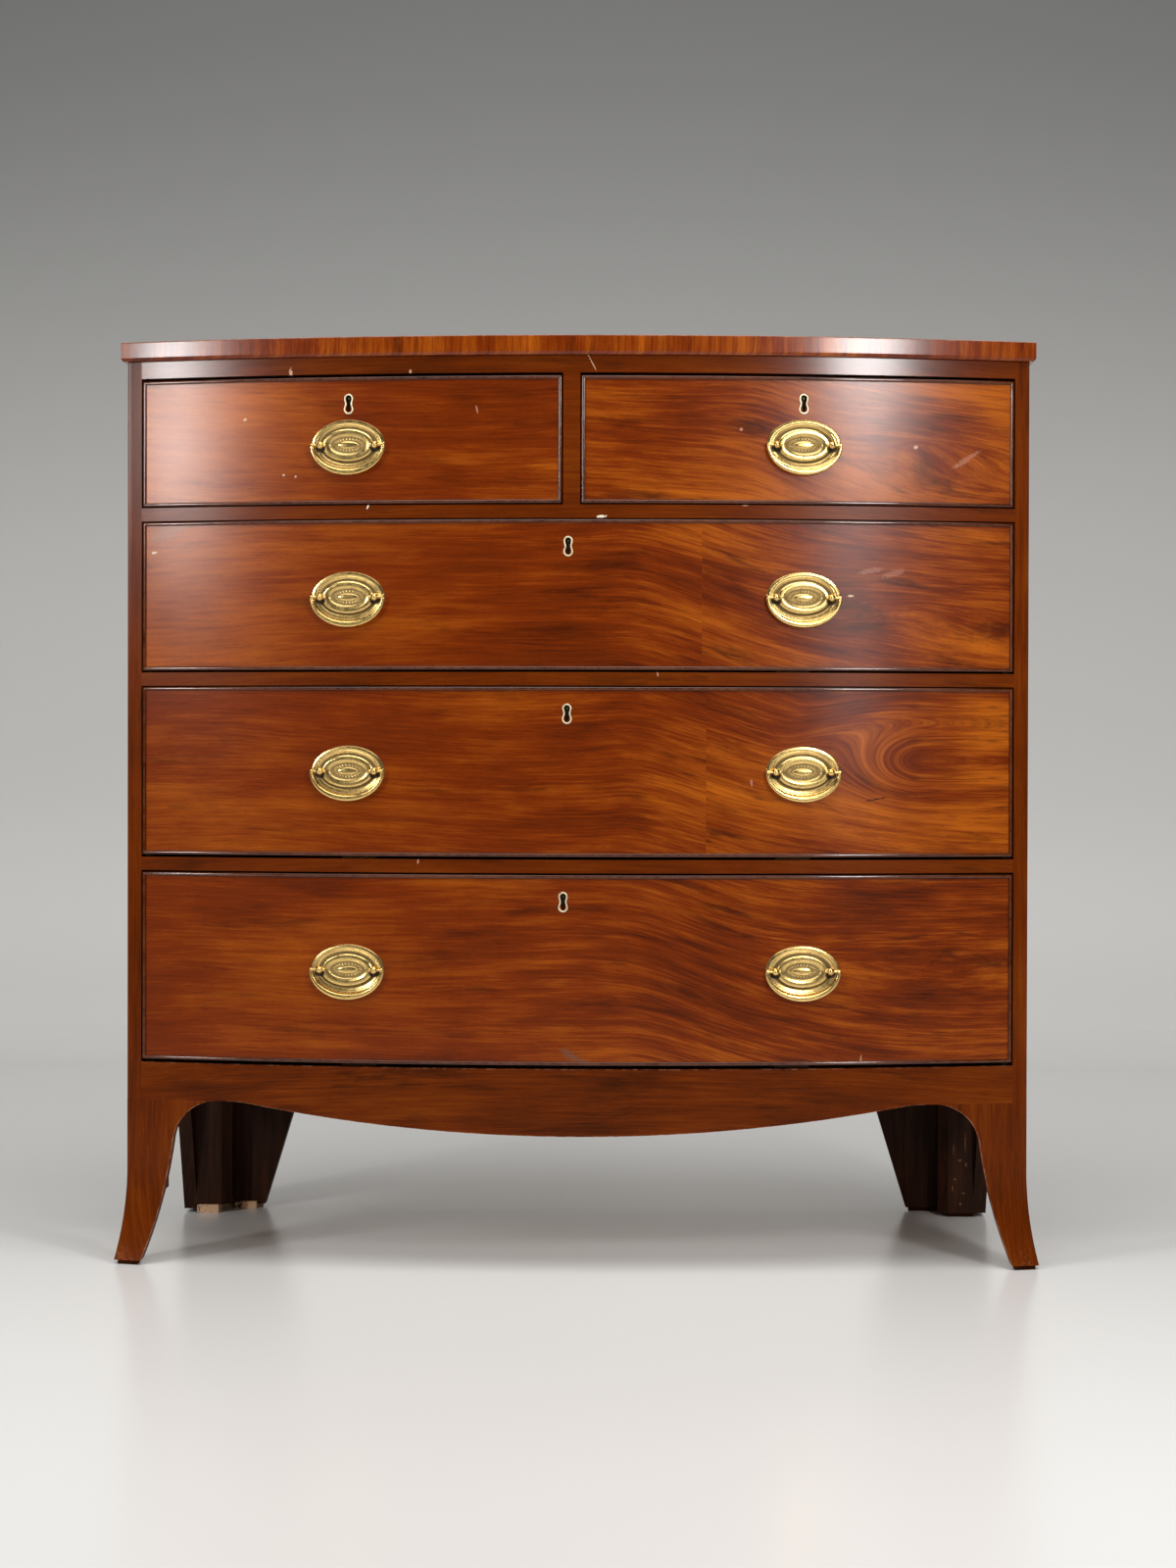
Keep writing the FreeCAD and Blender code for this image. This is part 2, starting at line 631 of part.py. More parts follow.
def foot_pads():
    """Dark pads under the feet, and the two pale shims under the left rear foot."""
    toe = HALF_WIDTH + TOE_FLARE
    toe_left = HALF_WIDTH - FOOT_TOE_WIDTH + PAD_INSET
    depth = FOOT_THICKNESS - 2 * PAD_INSET + (TOE_FLARE - TOE_INNER_FLARE)
    front = bow_board(toe_left, toe - PAD_INSET, 0, PAD_HEIGHT, TOE_FLARE - PAD_INSET, depth)
    rear_front = BACK_Y - REAR_BRACKET_THICKNESS
    outer = HALF_WIDTH - REAR_BATTER - PAD_INSET
    inner = HALF_WIDTH - REAR_BRACKET_TOE_REACH + PAD_INSET
    rear = block(inner, outer, rear_front + PAD_INSET, BACK_Y - PAD_INSET, 0, PAD_HEIGHT)
    block_outer = INNER_HALF - REAR_BATTER
    shim = block(
        -block_outer, -block_outer + SHIM_WIDTH,
        rear_front - REAR_BLOCK_SIZE, rear_front - REAR_BLOCK_CHAMFER, 0, SHIM_HEIGHT,
    )
    left = -INNER_HALF + REAR_BLOCK_SIZE
    bracket_shim = block(
        left, left + SHIM_WIDTH, rear_front - BRACKET_SHIM_DEPTH, rear_front, 0, BRACKET_SHIM_HEIGHT
    )
    right_pad = block(
        INNER_HALF - REAR_BLOCK_SIZE + REAR_BLOCK_CHAMFER, block_outer,
        rear_front - REAR_BLOCK_SIZE + PAD_INSET, rear_front - PAD_INSET, 0, PAD_HEIGHT,
    )
    return [front, mirrored(front), rear, mirrored(rear), shim, bracket_shim, right_pad]


# ---------------------------------------------------------------- drawers
def front_bottom(row):
    """Height of the lower edge of the drawer fronts in a row."""
    return FLOORS[row.name] + row.gap_under


def front_top(row):
    """Height of the upper edge of the drawer fronts in a row."""
    return front_bottom(row) + row.height


def side_span(row):
    """Lower and upper edge of the drawer sides: they run on the surface below, with a clearance."""
    return FLOORS[row.name] + RUN_CLEARANCE, front_top(row) - DRAWER_SIDE_DROP


def tails(count, low, high, y_root, y_end):
    """Fan-shaped tails seen from the side, widening from y_root to y_end and a little beyond both."""
    pitch = (high - low) / count
    half = pitch * DOVETAIL_SHARE / 2
    run = y_end - y_root
    y_near = y_root - DOVETAIL_REACH * run
    y_far = y_end + DOVETAIL_REACH * run
    narrow = half - DOVETAIL_SLOPE * DOVETAIL_REACH
    wide = half + DOVETAIL_SLOPE * (1 + DOVETAIL_REACH)
    shapes = []
    for number in range(count):
        z = low + (number + 0.5) * pitch
        corners = ((y_near, z - narrow), (y_far, z - wide), (y_far, z + wide), (y_near, z + narrow))
        outline = polygon([Vector(-FAR / 2, y, height) for y, height in corners])
        shapes.append(outline.extrude(Vector(FAR, 0, 0)))
    return shapes


def side_slab(left, right, proud, back_y, low, high):
    """Straight length of drawer side whose front end is cut to the slant of the bow."""
    corners = ((left, bow_y(left, proud)), (right, bow_y(right, proud)), (right, back_y), (left, back_y))
    return polygon([Vector(x, y, low) for x, y in corners]).extrude(Vector(0, 0, high - low))


def drawer_panel(drawer, drop=0.0):
    """Bottom panel: in grooves at the sides, in the rebate of the front and under the back."""
    low = side_span(drawer.row)[0] + PANEL_LIFT
    inset = DRAWER_SIDE_THICKNESS - GROOVE_DEPTH
    left = drawer.left + inset
    right = drawer.right - inset
    proud = GROOVE_DEPTH - FRONT_THICKNESS
    return bow_blank(left, right, low - drop, low + PANEL_THICKNESS, proud, DRAWER_END_Y)


def drawer_side(drawer, left):
    """One drawer side with lapped tails at the front and through tails at the back."""
    low, high = side_span(drawer.row)
    right = left + DRAWER_SIDE_THICKNESS
    middle = (left + right) / 2
    back_y = DRAWER_END_Y - DRAWER_SIDE_THICKNESS
    body = side_slab(left, right, -FRONT_THICKNESS, back_y, low, high)
    lapped = side_slab(left, right, -DOVETAIL_LAP, back_y, low, high).cut(body)
    tail_low = front_bottom(drawer.row) + BEAD_WIDTH
    front_root = bow_y(middle, -FRONT_THICKNESS)
    front_end = bow_y(middle, -DOVETAIL_LAP)
    for tail in tails(drawer.row.tails, tail_low, high, front_root, front_end):
        body = body.fuse(lapped.common(tail))
    through = block(left, right, back_y, DRAWER_END_Y, low, high)
    for tail in tails(BACK_TAILS, low, high - DRAWER_BACK_DROP, back_y, DRAWER_END_Y):
        body = body.fuse(through.common(tail))
    return body.removeSplitter().cut(drawer_panel(drawer))


def drawer_back(drawer, sides):
    """Back board between the through tails, above the bottom panel."""
    low, high = side_span(drawer.row)
    bottom = low + PANEL_LIFT + PANEL_THICKNESS
    front_y = DRAWER_END_Y - DRAWER_SIDE_THICKNESS
    board = block(drawer.left, drawer.right, front_y, DRAWER_END_Y, bottom, high - DRAWER_BACK_DROP)
    for side in sides:
        board = board.cut(side)
    return board


def drawer_frame(drawer):
    """Two sides and a back."""
    left = drawer_side(drawer, drawer.left)
    right = drawer_side(drawer, drawer.right - DRAWER_SIDE_THICKNESS)
    return [left, right, drawer_back(drawer, (left, right))]


def drawer_front(drawer, joined):
    """Bowed front: rebated round its edge for the beads, and cut for everything let into it."""
    low = front_bottom(drawer.row)
    high = front_top(drawer.row)
    core = bow_board(drawer.left, drawer.right, low, high, -BEAD_DEPTH, FRONT_THICKNESS - BEAD_DEPTH)
    left = drawer.left + BEAD_WIDTH
    right = drawer.right - BEAD_WIDTH
    face = bow_board(left, right, low + BEAD_WIDTH, high - BEAD_WIDTH, 0, BEAD_DEPTH)
    front = core.fuse(face).removeSplitter()
    for piece in joined + [drawer_panel(drawer, 2 * PANEL_LIFT)]:
        front = front.cut(piece)
    recess = block(
        -CASE_WIDTH / 2, CASE_WIDTH / 2,
        FRONT_THICKNESS - CASE_DEPTH, 2 * FRONT_THICKNESS, -CASE_HEIGHT, OVERCUT,
    )
    front = front.cut(at_bow(recess, drawer.lock_x, high))
    front = front.cut(at_bow(keyhole(0.0, -OVERCUT, FRONT_THICKNESS), drawer.lock_x, high - LOCK_DROP))
    return front


def bead_nose(x0, x1):
    """Section of an upright bead: its back in the rebate, its nose rounded before the front."""
    width = x1 - x0
    places = [(x0 + share * width, proud) for share, proud in bead_profile()]
    return polygon([Vector(x, bow_y(x, proud), 0) for x, proud in places])


def bead_profile():
    """Section of a bead as (share of its width, distance before the front): two flats make its nose."""
    return (
        (0.0, -BEAD_DEPTH),
        (0.0, BEAD_PROUD - BEAD_SLOPE),
        (0.5, BEAD_PROUD),
        (1.0, BEAD_PROUD - BEAD_SLOPE),
        (1.0, -BEAD_DEPTH),
    )


def level_bead(low, mitre):
    """Bead that follows the bow, trimmed to its mitres."""
    front_y = BOW_CENTRE_Y - BOW_RADIUS
    section = polygon(
        [Vector(0, front_y - proud, low + share * BEAD_WIDTH) for share, proud in bead_profile()]
    )
    sweep = math.degrees(math.asin(HALF_WIDTH / BOW_RADIUS))
    axis = Vector(0, BOW_CENTRE_Y, 0)
    section.rotate(axis, Vector(0, 0, 1), -sweep)
    return section.revolve(axis, Vector(0, 0, 1), 2 * sweep).common(mitre)


def cock_beads(drawer):
    """Four mitred beads round the edge of a drawer front."""
    x0 = drawer.left
    x1 = drawer.right
    z0 = front_bottom(drawer.row)
    z1 = front_top(drawer.row)
    w = BEAD_WIDTH
    lower = level_bead(z0, front_prism(((x0, z0), (x1, z0), (x1 - w, z0 + w), (x0 + w, z0 + w))))
    upper = level_bead(z1 - w, front_prism(((x0, z1), (x1, z1), (x1 - w, z1 - w), (x0 + w, z1 - w))))
    uprights = []
    for outer, inner in ((x0, x0 + w), (x1, x1 - w)):
        section = bead_nose(min(outer, inner), max(outer, inner))
        section.translate(Vector(0, 0, z0))
        prism = front_prism(((outer, z0), (inner, z0 + w), (inner, z1 - w), (outer, z1)))
        uprights.append(section.extrude(Vector(0, 0, z1 - z0)).common(prism))
    return [lower, upper] + uprights


# ---------------------------------------------------------------- locks
def rod(radius, y0, y1):
    """Small round bar along Y at the origin."""
    return turned(((radius, y0), (radius, y1)), TURNED_SIDES)


def keyhole(inset, y0, y1):
    """Keyhole as a bar: round head, straight neck and small round foot, all shrunk by the inset."""
    head_z = KEYHOLE_HEIGHT / 2 - KEYHOLE_HEAD_RADIUS
    tail_z = KEYHOLE_TAIL_RADIUS - KEYHOLE_HEIGHT / 2
    head_radius = KEYHOLE_HEAD_RADIUS - inset
    tail_radius = KEYHOLE_TAIL_RADIUS - inset
    half = KEYHOLE_NECK_WIDTH / 2 - inset
    head_start = math.acos(half / head_radius)
    tail_start = math.acos(half / tail_radius)
    points = []
    for number in range(KEYHOLE_HEAD_STEPS + 1):
        turn = -head_start + (math.pi + 2 * head_start) * number / KEYHOLE_HEAD_STEPS
        points.append(Vector(head_radius * math.cos(turn), y0, head_z + head_radius * math.sin(turn)))
    for number in range(KEYHOLE_TAIL_STEPS + 1):
        turn = math.pi - tail_start + (math.pi + 2 * tail_start) * number / KEYHOLE_TAIL_STEPS
        points.append(Vector(tail_radius * math.cos(turn), y0, tail_z + tail_radius * math.sin(turn)))
    return polygon(points).extrude(Vector(0, y1 - y0, 0))


def bolt_block(clearance, rise):
    """Space round the head of a bolt, from the top edge of the front up by the rise."""
    middle = FRONT_THICKNESS - CASE_DEPTH / 2
    return block(
        -BOLT_WIDTH / 2 - clearance, BOLT_WIDTH / 2 + clearance,
        middle - BOLT_DEPTH / 2 - clearance, middle + BOLT_DEPTH / 2 + clearance, 0, rise,
    )


def lock(drawer):
    """Lock case let into the back of the front, its drill pin, and the brass thread of the keyhole."""
    inner = FRONT_THICKNESS - CASE_DEPTH
    shell = block(-CASE_WIDTH / 2, CASE_WIDTH / 2, inner, FRONT_THICKNESS, -CASE_HEIGHT, 0)
    hollow = block(
        -CASE_WIDTH / 2 + CASE_WALL, CASE_WIDTH / 2 - CASE_WALL,
        inner + CASE_WALL, FRONT_THICKNESS - CASE_WALL, -CASE_HEIGHT + CASE_WALL, -CASE_WALL,
    )
    case = shell.cut(hollow)
    slot = bolt_block(BOLT_CLEARANCE, 2 * CASE_WALL)
    slot.translate(Vector(0, 0, -2 * CASE_WALL))
    case = case.cut(slot)
    entry = keyhole(THREAD_WALL, inner - OVERCUT, inner + 2 * CASE_WALL)
    entry.translate(Vector(0, 0, -LOCK_DROP))
    case = case.cut(entry)
    pin = rod(DRILL_PIN_RADIUS, THREAD_DEPTH, FRONT_THICKNESS - CASE_WALL)
    pin.translate(Vector(0, 0, -LOCK_DROP + KEYHOLE_HEIGHT / 2 - KEYHOLE_HEAD_RADIUS))
    case = case.fuse(pin)
    thread = keyhole(0.0, -THREAD_PROUD, THREAD_DEPTH)
    thread = thread.cut(keyhole(THREAD_WALL, -OVERCUT, THREAD_DEPTH + OVERCUT))
    thread.translate(Vector(0, 0, -LOCK_DROP))
    top = front_top(drawer.row)
    return [at_bow(case, drawer.lock_x, top), at_bow(thread, drawer.lock_x, top)]


def lock_bolt(drawer):
    """Bolt, drawn back flush with the top edge of the drawer front."""
    bolt = bolt_block(0.0, BOLT_HEIGHT)
    bolt.translate(Vector(0, 0, -BOLT_HEIGHT))
    return [at_bow(bolt, drawer.lock_x, front_top(drawer.row))]


# ---------------------------------------------------------------- handles
def handle_height(drawer):
    """Height of the bail axis of a drawer's handles."""
    return front_bottom(drawer.row) + drawer.row.handle_rise


def back_plate():
    """Stamped oval plate, from its back forwards: raised rib under the bail, recess and flat-topped dome."""
    steps = (
        (0.0, 0.0, 0.0),
        (RIB_INSET, RIB_INSET, RIB_HEIGHT),
        (RECESS_INSET, RECESS_INSET, RECESS_HEIGHT),
        (DOME_SIDE_INSET, DOME_END_INSET, RECESS_HEIGHT),
        (DOME_SIDE_INSET + DOME_SLOPE, DOME_END_INSET + DOME_SLOPE, DOME_RISE),
    )
    rings = [
        ellipse_ring(PLATE_WIDTH - 2 * across, PLATE_HEIGHT - 2 * up, -out, OVAL_SIDES)
        for across, up, out in steps
    ]
    return skin(rings)


def post(side):
    """Turned post: ball head bored from outside for the bail, and the neck that stands in the plate."""
    half_ball = BALL_RADIUS * 0.5
    profile = (
        (half_ball, -PIVOT_OUT - BALL_RADIUS),
        (BALL_RADIUS, -PIVOT_OUT - half_ball),
        (BALL_RADIUS, -PIVOT_OUT + half_ball),
        (POST_RADIUS, -PIVOT_OUT + BALL_RADIUS),
        (POST_RADIUS, 0.0),
    )
    whole = turned(profile, TURNED_SIDES)
    pin_end = bail_pin_end() - POST_SPACING / 2 - BAIL_PIN_CLEARANCE
    bore = cross_bar(bore_radius(), pin_end, 2 * BALL_RADIUS, -PIVOT_OUT)
    if side < 0:
        bore = mirrored(bore)
    whole = whole.cut(bore)
    whole.translate(Vector(side * POST_SPACING / 2, 0, 0))
    return whole


def bore_radius():
    """Corner radius of the bore in a post: its flats clear the corners of the pin."""
    return (BAIL_PIN_RADIUS + BAIL_PIN_CLEARANCE) / math.cos(math.pi / TURNED_SIDES)


def bail_pin_end():
    """Where the pins of a bail end inside the ball heads."""
    return POST_SPACING / 2 - BALL_RADIUS / 2


def handle_set():
    """Backplate and two posts in one piece, drawn about the origin."""
    return back_plate().fuse(post(-1)).fuse(post(1)).removeSplitter()


def handle_mounts(drawer):
    """Backplate and posts of each handle on a drawer."""
    return [at_bow(HANDLE_SET, x, handle_height(drawer)) for x in drawer.handles]


def bail_section(turn):
    """Six-sided section of the bail where the line from its middle points along turn."""
    across = math.cos(turn)
    down = math.sin(turn)
    outer = Vector(BAIL_WIDTH / 2 * across, 0, BAIL_DROP * down)
    arm = BAIL_WIDTH / 2 - BAIL_ARM_WIDTH
    inner = Vector(arm * across, 0, (BAIL_DROP - BAIL_GRIP_WIDTH) * down)
    inward = (inner - outer).normalize() * BAIL_ARRIS
    half = BAIL_THICKNESS / 2
    corners = (
        (outer, 0.0),
        (outer + inward, -half),
        (inner - inward, -half),
        (inner, 0.0),
        (inner - inward, half),
        (outer + inward, half),
    )
    return [Vector(point.x, y - PIVOT_OUT, point.z) for point, y in corners]


def bail_shape():
    """Hanging bail drawn about the origin: a flat crescent, broad at the grip, with a pin for each post."""
    loop = skin([bail_section(math.pi * (1 + number / BAIL_STEPS)) for number in range(BAIL_STEPS + 1)])
    for side in (-1, 1):
        pin = cross_bar(BAIL_PIN_RADIUS, bail_pin_end(), BAIL_WIDTH / 2 - BAIL_ARRIS, -PIVOT_OUT)
        loop = loop.fuse(pin if side > 0 else mirrored(pin))
    return loop.removeSplitter()


def bail(x, drawer):
    """The bail of the handle at x on a drawer."""
    return [at_bow(BAIL_SHAPE, x, handle_height(drawer))]


# ---------------------------------------------------------------- build
def build_carcass():
    """Writes the fixed nodes."""
    rails = front_rails()
    dust = dust_boards()
    bottom = bottom_board()
    right_side = side_board(rails + [bottom])
    left_side = side_board([mirrored(piece) for piece in rails + [bottom]])
    rear = rear_foot()
    front = front_foot()
    grooved_rails = rails
    grooved_runners = drawer_runners()
    for panel in dust:
        grooved_rails = [rail.cut(panel) for rail in grooved_rails]
        grooved_runners = [runner.cut(panel) for runner in grooved_runners]
    save("top_board", [top_board()])
    save("side_right", [right_side])
    save("side_left", [mirrored(left_side)])
    save("back_boards", back_boards())
    save("bottom_board", [bottom])
    save("front_rails", grooved_rails)
    save("top_partition", top_partition())
    save("drawer_runners", grooved_runners)
    save("dust_boards", dust)
    save("drawer_stops", drawer_stops())
    save("apron", [apron()])
    save("front_feet", front + [mirrored(piece) for piece in front])
    save("rear_foot_right", rear)
    save("rear_foot_left", [mirrored(piece) for piece in rear])
    save("foot_blocks", foot_blocks())
    save("foot_pads", foot_pads())


def build_drawer(drawer):
    """Writes the nodes of one drawer, its lock bolt and its bails."""
    frame = drawer_frame(drawer)
    panel = drawer_panel(drawer)
    save("drawer_front_" + drawer.name, [drawer_front(drawer, frame[:2])])
    save("drawer_frame_" + drawer.name, frame)
    save("drawer_bottom_" + drawer.name, [panel])
    save("cock_beads_" + drawer.name, cock_beads(drawer))
    save("lock_" + drawer.name, lock(drawer))
    save("lock_bolt_" + drawer.name, lock_bolt(drawer))
    save("handle_mounts_" + drawer.name, handle_mounts(drawer))
    for x in drawer.handles:
        single = len(drawer.handles) == 1
        suffix = "" if single else ("_left" if x < 0 else "_right")
        save("bail_" + drawer.name + suffix, bail(x, drawer))


HANDLE_SET = handle_set()
BAIL_SHAPE = bail_shape()

os.makedirs("parts", exist_ok=True)
build_carcass()
for each in DRAWERS:
    build_drawer(each)
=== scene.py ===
"""Looks of the bow front chest of drawers: veneers, beads, brasses and feet dressed over the frame.

Metres, +Z up, +X to the right and the bowed front towards -Y. Sizes come from the frame's own boxes,
joints and vertices. A curved piece of the front lies on one upright cylinder, the Bow.
"""
import json
import logging
import math
from dataclasses import dataclass, field
from enum import Enum
from typing import Callable, Iterable, Optional, Sequence, Union

import bmesh
import bpy
import numpy as np
from mathutils import Matrix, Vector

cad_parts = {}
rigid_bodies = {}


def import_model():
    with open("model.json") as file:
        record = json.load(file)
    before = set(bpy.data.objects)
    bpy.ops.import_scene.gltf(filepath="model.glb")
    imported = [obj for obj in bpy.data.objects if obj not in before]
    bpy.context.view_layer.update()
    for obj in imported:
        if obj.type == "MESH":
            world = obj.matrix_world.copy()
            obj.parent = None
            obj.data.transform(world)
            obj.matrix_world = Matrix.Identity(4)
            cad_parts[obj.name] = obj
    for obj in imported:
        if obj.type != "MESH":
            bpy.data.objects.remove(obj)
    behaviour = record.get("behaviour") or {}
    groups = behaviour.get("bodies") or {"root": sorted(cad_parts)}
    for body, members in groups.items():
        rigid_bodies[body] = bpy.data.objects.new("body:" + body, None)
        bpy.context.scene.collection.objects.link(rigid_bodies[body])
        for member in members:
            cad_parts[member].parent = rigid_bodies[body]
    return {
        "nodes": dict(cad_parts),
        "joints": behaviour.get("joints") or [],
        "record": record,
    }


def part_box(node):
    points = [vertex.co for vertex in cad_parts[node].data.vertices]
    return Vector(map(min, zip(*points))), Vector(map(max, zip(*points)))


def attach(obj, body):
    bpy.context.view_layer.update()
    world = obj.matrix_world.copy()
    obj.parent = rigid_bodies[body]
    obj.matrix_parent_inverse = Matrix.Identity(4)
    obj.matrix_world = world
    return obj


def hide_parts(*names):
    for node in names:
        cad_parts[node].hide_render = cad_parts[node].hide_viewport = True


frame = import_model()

Array = np.ndarray

LOG = logging.getLogger("chest")
MM = 0.001
WELD = 2e-6


# ---------------------------------------------------------------- surfaces
def steps(start: float, end: float, pitch: float) -> Array:
    """Even places from start to end, about a pitch apart."""
    count = max(2, int(round(abs(end - start) / pitch)) + 1)
    return np.linspace(start, end, count)


def smooth(value: Array, low: float, high: float) -> Array:
    """Runs from 0 at low to 1 at high with level ends."""
    share = np.clip((value - low) / (high - low), 0.0, 1.0)
    return share * share * (3.0 - 2.0 * share)


def stack(x: Array, y: Array, z: Array) -> Array:
    """One array of points from three arrays of coordinates that fit each other."""
    return np.stack(np.broadcast_arrays(x, y, z), axis=-1).astype(float)


class Shell:
    """Gathers grids of points into one welded mesh."""

    def __init__(self) -> None:
        """Starts with nothing in it."""
        self.points: list[Array] = []
        self.quads: list[Array] = []
        self.aged: list[Array] = []
        self.count = 0

    def grid(
        self,
        points: Array,
        round_rows: bool = False,
        round_columns: bool = False,
        aged: Union[Array, float] = 0.0,
    ) -> "Shell":
        """Adds the faces between neighbouring rows and columns of points.

        Args:
            points: Array of shape (rows, columns, 3), in metres.
            round_rows: Whether the last row joins the first.
            round_columns: Whether the last column joins the first.
            aged: Share of wear and painted highlight on wood, and of dirt and painted shade on brass, at
                each point, from 0 to 1.

        Returns:
            The shell itself, so that calls can follow each other.
        """
        rows, columns = points.shape[:2]
        index = self.count + np.arange(rows * columns).reshape(rows, columns)
        if round_rows:
            index = np.concatenate([index, index[:1]])
        if round_columns:
            index = np.concatenate([index, index[:, :1]], axis=1)
        corners = (index[:-1, :-1], index[:-1, 1:], index[1:, 1:], index[1:, :-1])
        self.quads.append(np.stack(corners, axis=-1).reshape(-1, 4))
        self.points.append(points.reshape(-1, 3))
        self.aged.append(np.broadcast_to(aged, (rows, columns)).ravel())
        self.count += rows * columns
        return self

    def slab(self, outer: Array, inner: Array, aged: Union[Array, float] = 0.0) -> "Shell":
        """Adds a closed board between two matching grids, with its four edges.

        Args:
            outer: Grid of its face.
            inner: Grid of its back.
            aged: Wear and painted highlight at each point of the face.

        Returns:
            The shell itself.
        """
        self.grid(outer, aged=aged).grid(inner[::-1])
        for rim in (np.s_[0], np.s_[-1], np.s_[:, 0], np.s_[:, -1]):
            self.grid(np.stack((outer[rim], inner[rim])))
        return self

    def box(self, low: Sequence[float], high: Sequence[float]) -> "Shell":
        """Adds a rectangular block between two opposite corners."""
        x, z = np.meshgrid([low[0], high[0]], [low[2], high[2]])
        return self.slab(stack(x, np.full_like(x, low[1]), z), stack(x, np.full_like(x, high[1]), z))

    def cap(self, ring: Array) -> "Shell":
        """Closes a flat ring of points with faces between its two halves."""
        half = len(ring) // 2
        return self.grid(np.stack([ring[:half], ring[half:][::-1]]))

    def turned(self, radii: Array, heights: Array, centre: Sequence[float], sides: int) -> "Shell":
        """Adds a piece turned on an axis along Y: a ring of points at each radius.

        Args:
            radii: Radius of each ring.
            heights: Distance of each ring from the centre, along the axis.
            centre: Point on the axis that the distances are measured from.
            sides: Points in a ring.

        Returns:
            The shell itself.
        """
        angle = np.linspace(0.0, 2.0 * np.pi, sides, endpoint=False)
        ring = stack(np.cos(angle), np.zeros(sides), np.sin(angle))
        points = ring[None] * np.asarray(radii)[:, None, None]
        points[..., 1] = np.asarray(heights)[:, None]
        return self.grid(points + np.asarray(centre), round_columns=True)

    def mesh(self, name: str, closed: bool = True, sharp: float = 35.0) -> bpy.types.Mesh:
        """Welds what was gathered into a mesh that is smooth between its sharp edges.

        Args:
            name: Name of the mesh.
            closed: Whether the faces close round a solid and are to be turned outwards.
            sharp: Angle in degrees above which an edge stays crisp.

        Returns:
            The new mesh.
        """
        points = np.concatenate(self.points)
        quads = np.concatenate(self.quads)
        _, first, inverse = np.unique(
            np.round(points / WELD).astype(np.int64), axis=0, return_index=True, return_inverse=True
        )
        quads = inverse.reshape(-1)[quads]
        repeated = quads == np.roll(quads, -1, axis=1)
        kept = repeated.sum(axis=1) < 2
        faces = [face[~flat].tolist() for face, flat in zip(quads[kept], repeated[kept])]
        mesh = bpy.data.meshes.new(name)
        mesh.from_pydata(points[first].tolist(), [], faces)
        mesh.validate()
        if closed:
            work = bmesh.new()
            work.from_mesh(mesh)
            bmesh.ops.recalc_face_normals(work, faces=work.faces)
            work.to_mesh(mesh)
            work.free()
        mesh.shade_smooth()
        mesh.set_sharp_from_angle(angle=math.radians(sharp))
        if not closed:
            sides = np.empty(len(mesh.loops), dtype=np.int32)
            mesh.loops.foreach_get("edge_index", sides)
            crisp = np.empty(len(mesh.edges), dtype=bool)
            mesh.edges.foreach_get("use_edge_sharp", crisp)
            border = np.bincount(sides, minlength=len(mesh.edges)) == 1
            mesh.edges.foreach_set("use_edge_sharp", crisp | border)
        # Wear with painted highlight on wood, and dirt with painted shade on brass, written for the
        # finishes to read.
        aged = np.concatenate(self.aged)[first]
        if aged.any():
            write(mesh, "aged", aged)
        return mesh


def write(mesh: bpy.types.Mesh, name: str, values: Array) -> None:
    """Writes numbers or vectors into a mesh for its finish to read.

    Args:
        mesh: The mesh.
        name: Name of the attribute.
        values: One number or one vector for each vertex.
    """
    kind, part = ("FLOAT_VECTOR", "vector") if values.ndim == 2 else ("FLOAT", "value")
    attribute = mesh.attributes.new(name, kind, "POINT")
    attribute.data.foreach_set(part, np.ascontiguousarray(values, np.float32).ravel())


def places(mesh: bpy.types.Mesh) -> Array:
    """Reads the vertices of a mesh.

    Args:
        mesh: The mesh.

    Returns:
        Their places, shape (count, 3).
    """
    points = np.empty(3 * len(mesh.vertices))
    mesh.vertices.foreach_get("co", points)
    return points.reshape(-1, 3)


@dataclass(frozen=True)
class Bow:
    """Upright cylinder that every curved face of the front follows."""

    radius: float
    centre: float

    @classmethod
    def through(cls, middle: float, corner: tuple[float, float]) -> "Bow":
        """Cylinder through the middle of the front and one of its corners.

        Args:
            middle: Y of the front at x 0.
            corner: X and y of a corner.

        Returns:
            The bow.
        """
        rise = corner[1] - middle
        radius = (corner[0] ** 2 + rise**2) / (2.0 * rise)
        return cls(radius, middle + radius)

    def y(self, x: Union[Array, float], proud: Union[Array, float] = 0.0) -> Array:
        """Y of the front at x, or of a face that stands proud of it."""
        return self.centre - np.sqrt((self.radius + proud) ** 2 - np.square(x))

    def across(self, x: float, y: float) -> tuple[float, float]:
        """Place of a point near the front as (x on the front, distance before it)."""
        reach = math.hypot(x, self.centre - y)
        return x * self.radius / reach, reach - self.radius

    def carry(self, shell: Shell, x: float, z: float) -> Shell:
        """Moves what was drawn about the origin, facing -Y, on to the front.

        Every point turns about the upright axis by the angle of the front at x, whose sine is x / radius,
        and then moves to the front.

        Args:
            shell: The surface.
            x: Place along the front.
            z: Height.

        Returns:
            The same surface in its new place.
        """
        turn = math.asin(x / self.radius)
        cos, sin = math.cos(turn), math.sin(turn)
        y = float(self.y(x))
        for number, points in enumerate(shell.points):
            across, back, up = np.moveaxis(points, -1, 0)
            shell.points[number] = stack(
                x + across * cos - back * sin, y + across * sin + back * cos, z + up
            )
        return shell


def add(name: str, data: bpy.types.ID) -> bpy.types.Object:
    """Adds an object to the scene.

    Args:
        name: Name of the object.
        data: Its mesh, light or camera.

    Returns:
        The new object.
    """
    thing = bpy.data.objects.new(name, data)
    bpy.context.scene.collection.objects.link(thing)
    return thing


def show(
    name: str, mesh: bpy.types.Mesh, material: bpy.types.Material, body: str
) -> bpy.types.Object:
    """Puts a mesh in the scene as a piece of the object.

    Args:
        name: Name of the piece.
        mesh: Its mesh, placed as it stands.
        material: Its finish.
        body: Body that the piece moves with.

    Returns:
        The new object.
    """
    piece = add(name, mesh)
    mesh.materials.clear()
    mesh.materials.append(material)
    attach(piece, body)
    return piece


